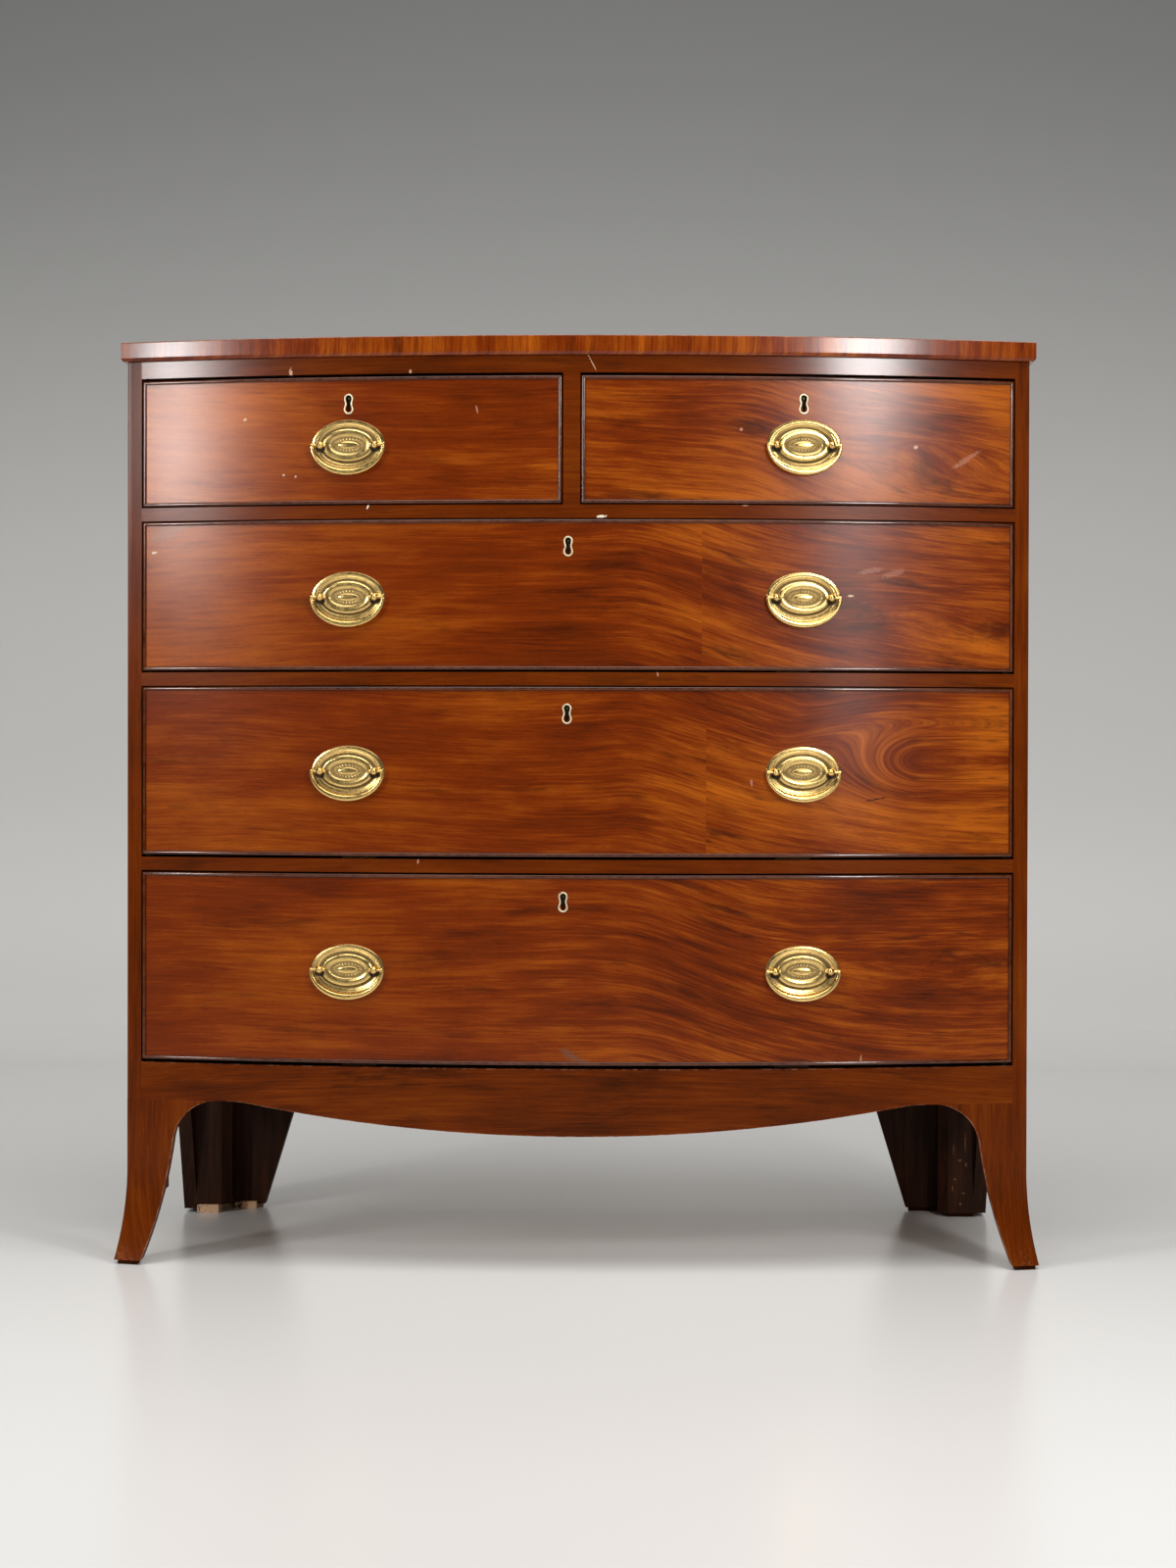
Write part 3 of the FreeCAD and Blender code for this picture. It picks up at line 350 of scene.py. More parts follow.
# ---------------------------------------------------------------- sizes read from the frame
def vertices(node: str) -> Array:
    """Vertices of a CAD node, shape (count, 3)."""
    return places(frame["nodes"][node].data)


@dataclass(frozen=True)
class Span:
    """Rectangle on the front, given by the x and z of its edges."""

    left: float
    right: float
    low: float
    high: float

    @classmethod
    def of(cls, node: str) -> "Span":
        """Rectangle that a CAD node covers."""
        low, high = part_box(node)
        return cls(low.x, high.x, low.z, high.z)

    def inset(self, by: float) -> "Span":
        """The rectangle made smaller by a distance on each side."""
        return Span(self.left + by, self.right - by, self.low + by, self.high - by)


@dataclass(frozen=True)
class Plan:
    """Sizes that several pieces share."""

    bow: Bow
    half: float
    inner: float
    front_corner: float
    back: float
    joint: float
    base: float
    top: float
    rails: Array

    @classmethod
    def read(cls) -> "Plan":
        """Reads the sizes from the frame.

        Returns:
            The plan.
        """
        side_low, side_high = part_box("side_right")
        apron_low, apron_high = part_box("apron")
        bow = Bow.through(apron_low.y, (side_low.x, side_low.y))
        rails = vertices("front_rails")
        housed = rails[np.abs(rails[:, 0]) > side_low.x + MM]
        return cls(
            bow=bow,
            half=side_high.x,
            inner=side_low.x,
            front_corner=float(bow.y(side_high.x)),
            back=side_high.y,
            joint=side_low.z,
            base=apron_high.z,
            top=side_high.z,
            rails=np.unique(np.round(housed[:, 2], 5)).reshape(-1, 2),
        )


# ---------------------------------------------------------------- outlines
@dataclass(frozen=True)
class Keyhole:
    """Keyhole outline: round head, slim waist and round foot."""

    height: float = 23.4 * MM
    head: float = 5.3 * MM
    foot: float = 5.7 * MM
    waist: float = 8.3 * MM
    points: int = 64

    def outline(self, inset: float = 0.0) -> Array:
        """Outline about its middle, with its points evenly spread in direction.

        Above and below the two centres it is round. Between them the half width follows a cosine
        from one radius down to the waist and up to the other.

        Args:
            inset: How far the outline is moved inwards.

        Returns:
            The points as (x, z).
        """
        turn = self.turns()
        top, low = self.height / 2.0 - self.head, self.foot - self.height / 2.0
        upper = np.linspace(0.0, np.pi, 90)
        ahead = np.linspace(0.0, 1.0, 60)
        width = self.head + ahead * (self.foot - self.head)
        width = width - (width - self.waist / 2.0) * (1.0 - np.cos(2.0 * np.pi * ahead)) / 2.0 - inset
        side = top + ahead * (low - top)
        head, foot = self.head - inset, self.foot - inset
        x = np.concatenate([head * np.cos(upper), -width, -foot * np.cos(upper), width[::-1]])
        z = np.concatenate([top + head * np.sin(upper), side, low - foot * np.sin(upper), side[::-1]])
        full = 2.0 * np.pi
        seen = np.arctan2(z, x) % full
        order = np.argsort(seen)
        lines = [np.interp(turn, seen[order], line[order], period=full) for line in (x, z)]
        return np.stack(lines, axis=-1)

    def turns(self) -> Array:
        """Direction of each point of the outline seen from its middle."""
        return np.linspace(0.0, 2.0 * np.pi, self.points, endpoint=False)


def tangent_arc(start: Sequence[float], heading: float, end: Sequence[float], count: int) -> Array:
    """Arc that leaves one point in a given direction and ends at another.

    Its centre lies on the normal at the start, at the distance |chord|^2 / (2 chord . normal).

    Args:
        start: First point.
        heading: Direction at the start, in radians from +X.
        end: Last point.
        count: How many points the arc has.

    Returns:
        The points.
    """
    chord = np.subtract(end, start)
    normal = np.array([-math.sin(heading), math.cos(heading)])
    radius = float(chord @ chord / (2.0 * chord @ normal))
    centre = np.add(start, radius * normal)
    first = np.arctan2(*(np.subtract(start, centre)[::-1]))
    last = np.arctan2(*(np.subtract(end, centre)[::-1]))
    last = first + (last - first + np.pi) % (2.0 * np.pi) - np.pi
    turn = np.linspace(first, last, count)
    return centre + abs(radius) * np.stack([np.cos(turn), np.sin(turn)], axis=-1)


# ---------------------------------------------------------------- pieces of the front
@dataclass
class FrontSheet:
    """Thin bowed sheet of veneer over part of the front, with a keyhole through it if one is given."""

    bow: Bow
    span: Span
    keyhole_at: Optional[tuple[float, float]] = None
    keyhole: Keyhole = field(default_factory=Keyhole)
    proud: float = 0.06 * MM
    thickness: float = 0.5 * MM
    pitch: float = 6.0 * MM
    window: float = 18.0 * MM

    def shell(self) -> Shell:
        """Open surface that faces forwards, with rings that run from a square window to the keyhole.

        Returns:
            The surface.
        """
        shell = Shell()
        for x, z in self.blocks():
            shell.grid(self.on_bow(x[None, :], z[:, None]))
        if self.keyhole_at:
            square = self.square()
            hole = self.keyhole.outline() + self.keyhole_at
            ring = np.stack([square, (square + hole) / 2.0, hole])
            shell.grid(self.on_bow(ring[..., 0], ring[..., 1]), round_columns=True)
        return shell

    def blocks(self) -> list[tuple[Array, Array]]:
        """Rectangles that fill the span, or all of it but the window round the keyhole.

        Returns:
            The columns and the rows of each rectangle.
        """
        span = self.span
        if not self.keyhole_at:
            return [(steps(span.left, span.right, self.pitch), steps(span.low, span.high, self.pitch))]
        x, z = self.keyhole_at
        w = self.window
        square = self.square()
        columns = np.unique(np.round(square[:, 0][np.abs(square[:, 1] - z) > w - 1e-9], 9))
        rows = np.unique(np.round(square[:, 1][np.abs(square[:, 0] - x) > w - 1e-9], 9))
        below = steps(span.low, z - w, self.pitch)
        above = steps(z + w, span.high, self.pitch)
        whole = np.concatenate([below, rows[1:-1], above])
        return [
            (steps(span.left, x - w, self.pitch), whole),
            (steps(x + w, span.right, self.pitch), whole),
            (columns, below),
            (columns, above),
        ]

    def square(self) -> Array:
        """Edge of the window: each direction divided by the greater of its two parts.

        Returns:
            One point in the direction of each point of the keyhole.
        """
        turns = self.keyhole.turns()
        ahead = np.stack([np.cos(turns), np.sin(turns)], axis=-1)
        return ahead * self.window / np.abs(ahead).max(axis=1, keepdims=True) + self.keyhole_at

    def on_bow(self, x: Array, z: Array) -> Array:
        """Points of the sheet's face."""
        return stack(x, self.bow.y(x, self.proud), z)

    def build(self, name: str, material: bpy.types.Material, slot: str, body: str) -> bpy.types.Object:
        """Makes the sheet as a piece of the chest.

        Args:
            name: Name of the piece.
            material: Its finish.
            slot: Material slot of the record that the finish belongs to; not used.
            body: Body that the piece moves with.

        Returns:
            The new object.
        """
        piece = show(name, self.shell().mesh(name, closed=False), material, body)
        backing = piece.modifiers.new("thickness", "SOLIDIFY")
        backing.thickness = self.thickness
        backing.offset = -1.0
        return piece


@dataclass
class CockBeads:
    """Four round-nosed beads, mitred round the edge of a drawer front."""

    bow: Bow
    span: Span
    width: float = 4.2 * MM
    depth: float = 6.0 * MM
    proud: float = 2.4 * MM
    mitre: float = 0.05 * MM
    pitch: float = 8.0 * MM
    nose_power: float = 0.6

    def section(self) -> tuple[Array, Array]:
        """Section of one bead: straight sides and a nose that is a flattened half circle.

        Returns:
            Distance from the edge of the front, and distance before its face.
        """
        turn = np.linspace(0.0, np.pi, 14)
        radius = self.width / 2.0
        nose = np.abs(np.sin(turn)) ** self.nose_power
        along = np.concatenate([[0.0], radius - radius * np.cos(turn), [self.width]])
        proud = np.concatenate([[-self.depth], self.proud - radius + radius * nose, [-self.depth]])
        return along, proud

    def shell(self) -> Shell:
        """The four beads; a point's share of the way between the mitres follows its own inset.

        Returns:
            The surface.
        """
        shell = Shell()
        span = self.span
        inset, proud = self.section()
        for edge, inward in ((span.low, 1.0), (span.high, -1.0)):
            share = np.linspace(0.0, 1.0, len(steps(span.left, span.right, self.pitch)))[:, None]
            start, end = span.left + inset + self.mitre, span.right - inset - self.mitre
            x = start + share * (end - start)
            self.bead(shell, stack(x, self.bow.y(x, proud), edge + inward * inset))
        for edge, inward in ((span.left, 1.0), (span.right, -1.0)):
            share = np.array([0.0, 0.5, 1.0])[:, None]
            start, end = span.low + inset + self.mitre, span.high - inset - self.mitre
            x = np.broadcast_to(edge + inward * inset, (3, len(inset)))
            self.bead(shell, stack(x, self.bow.y(x, proud), start + share * (end - start)))
        return shell

    @staticmethod
    def bead(shell: Shell, points: Array) -> None:
        """Adds one bead with both its ends, worn along its nose, where a paler painted highlight is laid.

        Args:
            shell: Surface that it is added to.
            points: The bead's section at each place along it.
        """
        # Wear and a painted highlight along the nose.
        worn_highlight = np.sin(np.linspace(0.0, np.pi, points.shape[1])) ** 6
        shell.grid(points, round_columns=True, aged=worn_highlight)
        for end in (points[0], points[-1]):
            shell.cap(end)


@dataclass
class Apron:
    """Bowed apron whose lower edge is one long arc with hollow ends beside the feet."""

    plan: Plan
    lowest: float
    thickness: float = 22.0 * MM
    spring: float = 405.0 * MM
    turn_share: float = 0.93

    def lower_edge(self, x: Array) -> Array:
        """Height of the lower edge: z = low + r - sqrt(r^2 - x^2), then the hollow, then level.

        Args:
            x: Places along the front.

        Returns:
            The heights.
        """
        joint = self.plan.joint
        turn = self.turn_share * self.spring
        rise = self.turn_share * (joint - self.lowest)
        radius = (turn**2 + rise**2) / (2.0 * rise)
        long_arc = self.lowest + radius - np.sqrt(radius**2 - np.square(np.clip(x, -turn, turn)))
        run, fall = self.spring - turn, joint - self.lowest - rise
        hollow = (run**2 + fall**2) / (2.0 * fall)
        rest = np.clip(self.spring - np.abs(x), 0.0, run)
        end_arc = joint - hollow + np.sqrt(hollow**2 - rest**2)
        return np.where(np.abs(x) < turn, long_arc, end_arc)

    def shell(self) -> Shell:
        """Closed board between the lower edge and the base, on the bow in front and behind.

        Returns:
            The surface.
        """
        x = steps(-self.plan.inner, self.plan.inner, 5.0 * MM)[None, :]
        low = self.lower_edge(x)
        share = np.concatenate([[0.0, 0.022], np.linspace(0.1, 0.9, 7), [0.97, 1.0]])[:, None]
        z = low + share * (self.plan.base - low)
        bow = self.plan.bow
        # Wear and painted highlight along the lower edge of the arch and along the top edge.
        worn_highlight = (share == 0.0) * (np.abs(x) < self.spring) + 0.7 * (share == 1.0)
        return Shell().slab(stack(x, bow.y(x), z), stack(x, bow.y(x, -self.thickness), z), worn_highlight)


@dataclass
class TopBoard:
    """Top: bowed front edge, eased upper arris and a bevel under the overhang."""

    plan: Plan
    side_overhang: float = 7.0 * MM
    front_overhang: float = 9.0 * MM
    thickness: float = 22.0 * MM
    bevel: float = 2.5 * MM
    easing: float = 1.1 * MM

    def outline(self, inset: float) -> Array:
        """Outline of the board: the bow in front and three straight sides.

        Args:
            inset: How far it is moved in from the edge.

        Returns:
            Points round the board as (x, y).
        """
        bow = self.plan.bow
        half = self.plan.half + self.side_overhang - inset
        x = np.linspace(-half, half, 141)
        y = bow.y(x, self.front_overhang - inset)
        back = self.plan.back - inset
        side = np.linspace(y[-1], back, 24)[1:]
        front = np.stack([x, y], axis=-1)
        right = np.stack([np.full_like(side, half), side], axis=-1)
        rear = np.stack([x[::-1][1:], np.full(len(x) - 1, back)], axis=-1)
        left = np.stack([np.full_like(side, -half), side[::-1]], axis=-1)
        return np.concatenate([front, right, rear, left[1:]])

    def profile(self) -> list[tuple[float, float]]:
        """Section of the edge: bevel, flat and a quarter circle.

        Returns:
            Inset and height above the underside, from below upwards.
        """
        turn = np.linspace(0.0, np.pi / 2.0, 6)
        inset = self.easing * (1.0 - np.cos(turn))
        arris = zip(inset, self.thickness - self.easing * (1.0 - np.sin(turn)))
        heights = (1.4 * self.bevel, 1.6 * self.bevel, self.thickness - 1.3 * self.easing)
        flat = [(0.0, height) for height in heights]
        return [(self.bevel, 0.0), (0.15 * self.bevel, self.bevel), *flat, *arris]

    def shell(self) -> Shell:
        """Closed board: rings up the edge, each face drawn in to a line along its middle.

        Returns:
            The surface.
        """
        rings = []
        for inset, height in self.profile():
            outline = self.outline(inset)
            rings.append(stack(outline[:, 0], outline[:, 1], self.plan.top + height))
        shell = Shell()
        for ring in (rings[0], rings[-1]):
            spine = ring.copy()
            spine[:, 0] *= 0.6
            spine[:, 1] = 0.0
            rings_in = np.stack([ring, (ring + spine) / 2.0, spine])
            shell.grid(rings_in, round_columns=True)
        height = np.array([height for _, height in self.profile()])[:, None]
        # Wear and painted highlight along the upper arris.
        worn_highlight = smooth(height, self.thickness - 1.6 * self.easing, self.thickness - 0.5 * self.easing)
        return shell.grid(np.stack(rings), round_columns=True, aged=worn_highlight)


@dataclass
class SideBoard:
    """Side of the carcass with its eased front corner and the rebate for the back."""

    plan: Plan
    hand: int
    rebate_width: float = 9.0 * MM
    rebate_depth: float = 10.0 * MM
    easing: float = 1.2 * MM

    def shell(self) -> Shell:
        """Closed board: its section at the outer and the inner face, carried up from foot to top.

        Returns:
            The surface.
        """
        plan, bow = self.plan, self.plan.bow
        flat = np.linspace(plan.inner, plan.half - self.easing, 5)
        turn = np.linspace(-np.pi / 2.0, 0.0, 6)[1:]
        corner_y = bow.y(flat[-1]) + self.easing
        x = np.concatenate([flat, flat[-1] + self.easing * np.cos(turn), [plan.half] * 3])
        y = np.concatenate([bow.y(flat), corner_y + self.easing * np.sin(turn), [plan.back] * 3])
        rebate, edge = plan.back - self.rebate_depth, plan.inner + self.rebate_width
        inner_x = np.concatenate([np.full(len(flat) + len(turn), plan.inner), [plan.inner, edge, edge]])
        inner_y = np.concatenate([np.maximum(y[:-3], bow.y(plan.inner)), [rebate, rebate, plan.back]])
        z = steps(plan.joint, plan.top, 200.0 * MM)[:, None]
        return Shell().slab(stack(self.hand * x, y, z), stack(self.hand * inner_x, inner_y, z))


@dataclass
class FrontFoot:
    """Splayed foot: bowed front facing and straight side facing, both curving out to the toe."""

    plan: Plan
    hand: int
    pad: float = 5.0 * MM
    thickness: float = 22.0 * MM
    side_thickness: float = 17.0 * MM
    reach: float = 110.0 * MM
    side_reach: float = 108.0 * MM
    toe_width: float = 18.0 * MM
    arch_radius: float = 55.0 * MM
    arch_sweep: float = math.radians(82.0)
    flare: float = 14.0 * MM
    inner_flare: float = 8.0 * MM
    flare_height: float = 110.0 * MM
    easing: float = 0.8 * MM
    easing_angle: float = math.radians(50.0)

    def splay(self, z: Array, amount: float) -> Array:
        """Distance that a face stands out: r - sqrt(r^2 - d^2), d below the bend.

        Args:
            z: Heights.
            amount: The distance at the toe.

        Returns:
            The distances.
        """
        depth = np.clip(self.pad + self.flare_height - z, 0.0, None)
        radius = (self.flare_height**2 + amount**2) / (2.0 * amount)
        return radius - np.sqrt(radius**2 - depth**2)

    def inner_edge(self, outer: float, reach: float) -> tuple[Array, Array]:
        """Inner edge of a facing from the joint to the toe: an arch, then the hollow leg.

        Args:
            outer: Place of its outer edge.
            reach: Its width at the joint.

        Returns:
            Places along the facing, and heights.
        """
        spring = (outer - reach, self.plan.joint)
        turn = (
            spring[0] + self.arch_radius * math.sin(self.arch_sweep),
            spring[1] - self.arch_radius * (1.0 - math.cos(self.arch_sweep)),
        )
        arch = tangent_arc(spring, 0.0, turn, 26)
        leg = tangent_arc(turn, -self.arch_sweep, (outer - self.toe_width, self.pad), 34)
        edge = np.concatenate([arch, leg[1:]])
        return edge[:, 0], edge[:, 1]

    def front(self, shell: Shell) -> None:
        """Adds the front facing, which runs from the inner edge to the splayed corner on the bow.

        Args:
            shell: Surface that it is added to.
        """
        bow, plan = self.plan.bow, self.plan
        edge, z = self.inner_edge(plan.half, self.reach)
        share = np.concatenate([[0.0, 0.03], np.linspace(0.1, 1.0, 15)])[None, :]
        out, back = self.splay(z, self.flare)[:, None], self.splay(z, self.inner_flare)[:, None]
        x = edge[:, None] + share * (plan.half + out - edge[:, None])
        # Painted highlight with wear along the inner edge below the joint, and wear at the toe.
        toe = 0.45 * smooth(-z[:, None], -34.0 * MM, -8.0 * MM)
        worn_highlight = np.maximum((share == 0.0) * smooth(plan.joint - z[:, None], 0.0, 2.0 * MM), toe)
        shell.slab(
            stack(self.hand * x, bow.y(x, out), z[:, None]),
            stack(self.hand * x, bow.y(x, back - self.thickness), z[:, None]),
            worn_highlight,
        )

    def side(self, shell: Shell) -> None:
        """Adds the straight side facing, which butts against the back of the front one.

        Args:
            shell: Surface that it is added to.
        """
        plan = self.plan
        edge, z = self.inner_edge(-plan.front_corner, self.side_reach)
        share = np.linspace(0.0, 1.0, 9)[None, :]
        faces = []
        for start, amount in ((plan.half, self.flare), (plan.half - self.side_thickness, self.inner_flare)):
            x = start + self.splay(z, amount)[:, None]
            ahead = plan.bow.y(x, self.splay(z, self.inner_flare)[:, None] - self.thickness)
            y = ahead + share * (-edge[:, None] - ahead)
            faces.append(stack(self.hand * x, y, z[:, None]))
        shell.slab(*faces)

    def shell(self) -> Shell:
        """Both facings.

        Returns:
            The surface.
        """
        shell = Shell()
        self.front(shell)
        self.side(shell)
        return shell

    def ease(self, piece: bpy.types.Object) -> None:
        """Eases the sharp edges of the finished foot.

        Args:
            piece: The foot.
        """
        bevel = piece.modifiers.new("eased_edges", "BEVEL")
        bevel.width = self.easing
        bevel.segments = 2
        bevel.limit_method = "ANGLE"
        bevel.angle_limit = self.easing_angle


# ---------------------------------------------------------------- brasses and locks
@dataclass
class Handle:
    """Oval stamped plate, two ball-headed posts with their nuts, and the bail that hangs in them."""

    bow: Bow
    x: float
    z: float
    pivot: float
    post_spacing: float = 64.0 * MM
    ball: float = 4.3 * MM
    rivet_share: float = 0.46
    shank: float = 2.8 * MM
    pin: float = 1.3 * MM
    bail_width: float = 88.0 * MM
    bail_drop: float = 34.5 * MM
    arm_width: float = 4.0 * MM
    grip_width: float = 6.5 * MM
    bail_thickness: float = 4.0 * MM
    front_thickness: float = 20.0 * MM
    flutes: int = 26
    flute_depth: float = 0.6 * MM
    sides: int = 208
    nut_size: tuple[float, float, float] = (9.0 * MM, 3.0 * MM, 9.0 * MM)
    shank_end: float = 5.5 * MM
    boxiness: float = 0.8

    # From the rim to the middle: half width, half height, rise in mm and share of dirt and painted shade.
    MOULDINGS = (
        (43.5, 29.75, 0.0, 0.5),
        (43.3, 29.55, 1.0, 0.1),
        (42.2, 28.6, 2.3, 0.0),
        (39.9, 26.4, 2.7, 0.0),
        (37.7, 24.5, 2.1, 0.3),
        (37.1, 24.0, 2.4, 0.0),
        (34.8, 21.8, 1.8, 0.1),
        (32.8, 20.1, 0.7, 0.85),
        (31.4, 19.0, 1.1, 0.85),
        (30.2, 18.3, 4.0, 0.05),
        (28.6, 16.9, 4.8, 0.0),
        (25.0, 13.6, 4.9, 0.0),
        (21.6, 10.6, 4.1, 0.1),
        (19.9, 9.3, 3.0, 0.65),
        (19.0, 8.7, 2.7, 0.75),
        (15.6, 6.5, 3.4, 0.15),
        (12.4, 4.5, 3.0, 0.6),
        (11.3, 3.9, 3.8, 0.0),
        (7.5, 2.3, 4.3, 0.0),
        (0.0, 0.0, 4.5, 0.0),
    )
    # Rows of the fluted field, from its outer edge over its crest to its foot.
    FLUTED = slice(14, 17)
    # Turned neck of a post: radius in shanks, and place between the plate and the pivot.
    NECK = ((0.72, -0.42), (1.0, -0.22), (1.25, 0.0))
    # Eye of a bail: distance beyond the arm, and radius, in mm.
    EYE = ((0.0, 1.3), (0.2, 2.2), (2.6, 2.2), (3.2, 1.6), (3.4, 0.0))

    def placed(self, shell: Shell) -> Shell:
        """Moves what was drawn about the origin on to the front."""
        return self.bow.carry(shell, self.x, self.z)

    def plate(self) -> Shell:
        """Stamped plate: ovals joined by smooth steps, with flutes that are a cosine of the turn.

        Returns:
            The surface.
        """
        rings = np.array(self.MOULDINGS) * (MM, MM, MM, 1.0)
        share = np.linspace(0.0, 1.0, 4)[:-1]
        blend = smooth(share, 0.0, 1.0)
        wide, tall, high, hollow_dirt_and_shade = (
            np.append((column[:-1, None] + run * np.diff(column)[:, None]).ravel(), column[-1])
            for column, run in zip(rings.T, (share, share, blend, blend))
        )
        turn = np.linspace(0.0, 2.0 * np.pi, self.sides, endpoint=False)
        rim, crest, foot = rings[self.FLUTED, 0]
        in_field = (smooth(wide, foot, crest) * smooth(-wide, -rim, -crest))[:, None]
        ridge = np.cos(self.flutes * turn)
        points = stack(
            wide[:, None] * np.cos(turn),
            -high[:, None] - self.flute_depth * in_field * ridge,
            tall[:, None] * np.sin(turn),
        )
        # Painted shadow in a near-black socket under each post, and painted shade with some dirt in the
        # hollows and the flute valleys.
        across = (np.abs(points[..., 0]) - self.post_spacing / 2.0) / (7.0 * MM)
        socket = np.hypot(across, (points[..., 2] + 4.0 * MM) / (4.6 * MM))
        dirt_and_painted_shade = hollow_dirt_and_shade[:, None] + 0.6 * in_field * (0.5 - 0.5 * ridge) + 1.1 * smooth(-socket, -1.15, -0.7)
        shell = Shell().grid(points, round_columns=True, aged=np.clip(dirt_and_painted_shade, 0.0, 1.0))
        return self.placed(shell.cap(points[0]))

    def posts(self) -> Shell:
        """Ball heads on turned necks, and the small ball where the pin is riveted inside.

        Returns:
            The surface.
        """
        shell = Shell()
        for side in (-1.0, 1.0):
            centre = (side * self.post_spacing / 2.0, 0.0, 0.0)
            turn = np.linspace(-0.5 * np.pi, 0.36 * np.pi, 15)
            neck, rise = np.array(self.NECK).T
            radii = np.concatenate([self.ball * np.cos(turn), neck * self.shank])
            reach = np.concatenate([self.ball * np.sin(turn) - self.pivot, rise * self.pivot])
            shell.turned(radii, reach, centre, 32)
            rivet = self.ball * self.rivet_share
            ball = np.linspace(-0.5 * np.pi, 0.5 * np.pi, 9)
            inside = (side * (self.post_spacing / 2.0 - self.ball - 0.4 * rivet), -self.pivot, 0.0)
            shell.turned(rivet * np.cos(ball), rivet * np.sin(ball), inside, 20)
        return self.placed(shell)

    def nuts(self) -> Shell:
        """Square nuts and the ends of the shanks behind the drawer front.

        Returns:
            The surface.
        """
        shell = Shell()
        back = self.front_thickness + 0.3 * MM
        size = np.array(self.nut_size)
        for side in (-1.0, 1.0):
            x = side * self.post_spacing / 2.0
            low = np.array([x, back, 0.0]) - size * (0.5, 0.0, 0.5)
            shell.box(low, low + size)
            radii = np.array([0.0, 0.72, 0.72, 0.55, 0.0]) * self.shank
            reach = np.array([-1.0 * MM, -1.0 * MM, self.shank_end - 0.5 * MM, *[self.shank_end] * 2])
            shell.turned(radii, reach + back, (x, 0.0, 0.0), 20)
        return self.placed(shell)

    def bail(self) -> Shell:
        """Hanging bail: a flat crescent between two half ovals, with a pin into each ball head.

        Its section is a boxy oval: a sine and a cosine, each to the power of the boxiness.

        Returns:
            The surface.
        """
        shell = Shell()
        turn = np.linspace(np.pi, 2.0 * np.pi, 73)
        outer = np.stack([self.bail_width / 2.0 * np.cos(turn), self.bail_drop * np.sin(turn)], axis=-1)
        arm = self.bail_width / 2.0 - self.arm_width
        inner = np.stack([arm * np.cos(turn), (self.bail_drop - self.grip_width) * np.sin(turn)], axis=-1)
        middle, across = (outer + inner) / 2.0, (outer - inner) / 2.0
        round_turn = np.linspace(0.0, 2.0 * np.pi, 20, endpoint=False)
        width, depth = (
            np.sign(wave(round_turn)) * np.abs(wave(round_turn)) ** self.boxiness
            for wave in (np.cos, np.sin)
        )
        heft = (0.78 + 0.22 * np.abs(np.sin(turn)))[:, None] * self.bail_thickness / 2.0
        rows = middle[:, None, :] + across[:, None, :] * width[None, :, None]
        points = stack(rows[..., 0], -self.pivot + heft * depth[None, :], rows[..., 1])
        tips = points[[0, -1]].mean(axis=1, keepdims=True) + np.zeros_like(points[:2])
        shell.grid(np.concatenate([tips[:1], points, tips[1:]]), round_columns=True)
        for side in (-1.0, 1.0):
            self.cross_pin(shell, side)
        return self.placed(shell)

    def cross_pin(self, shell: Shell, side: float) -> None:
        """Adds the eye at the end of an arm and the pin through it, turned on an axis along X.

        Args:
            shell: Surface that they are added to.
            side: -1 for the left arm, 1 for the right.
        """
        start = self.post_spacing / 2.0 - self.ball / 2.0
        arm = self.bail_width / 2.0 - self.arm_width
        beyond, width = np.array(self.EYE).T * MM
        reach = np.concatenate([[start, start], arm + beyond])
        radii = np.concatenate([[0.0, self.pin], width])
        turn = np.linspace(0.0, 2.0 * np.pi, 20, endpoint=False)
        points = stack(
            side * reach[:, None],
            -self.pivot + radii[:, None] * np.cos(turn),
            radii[:, None] * np.sin(turn),
        )
        shell.grid(points, round_columns=True)


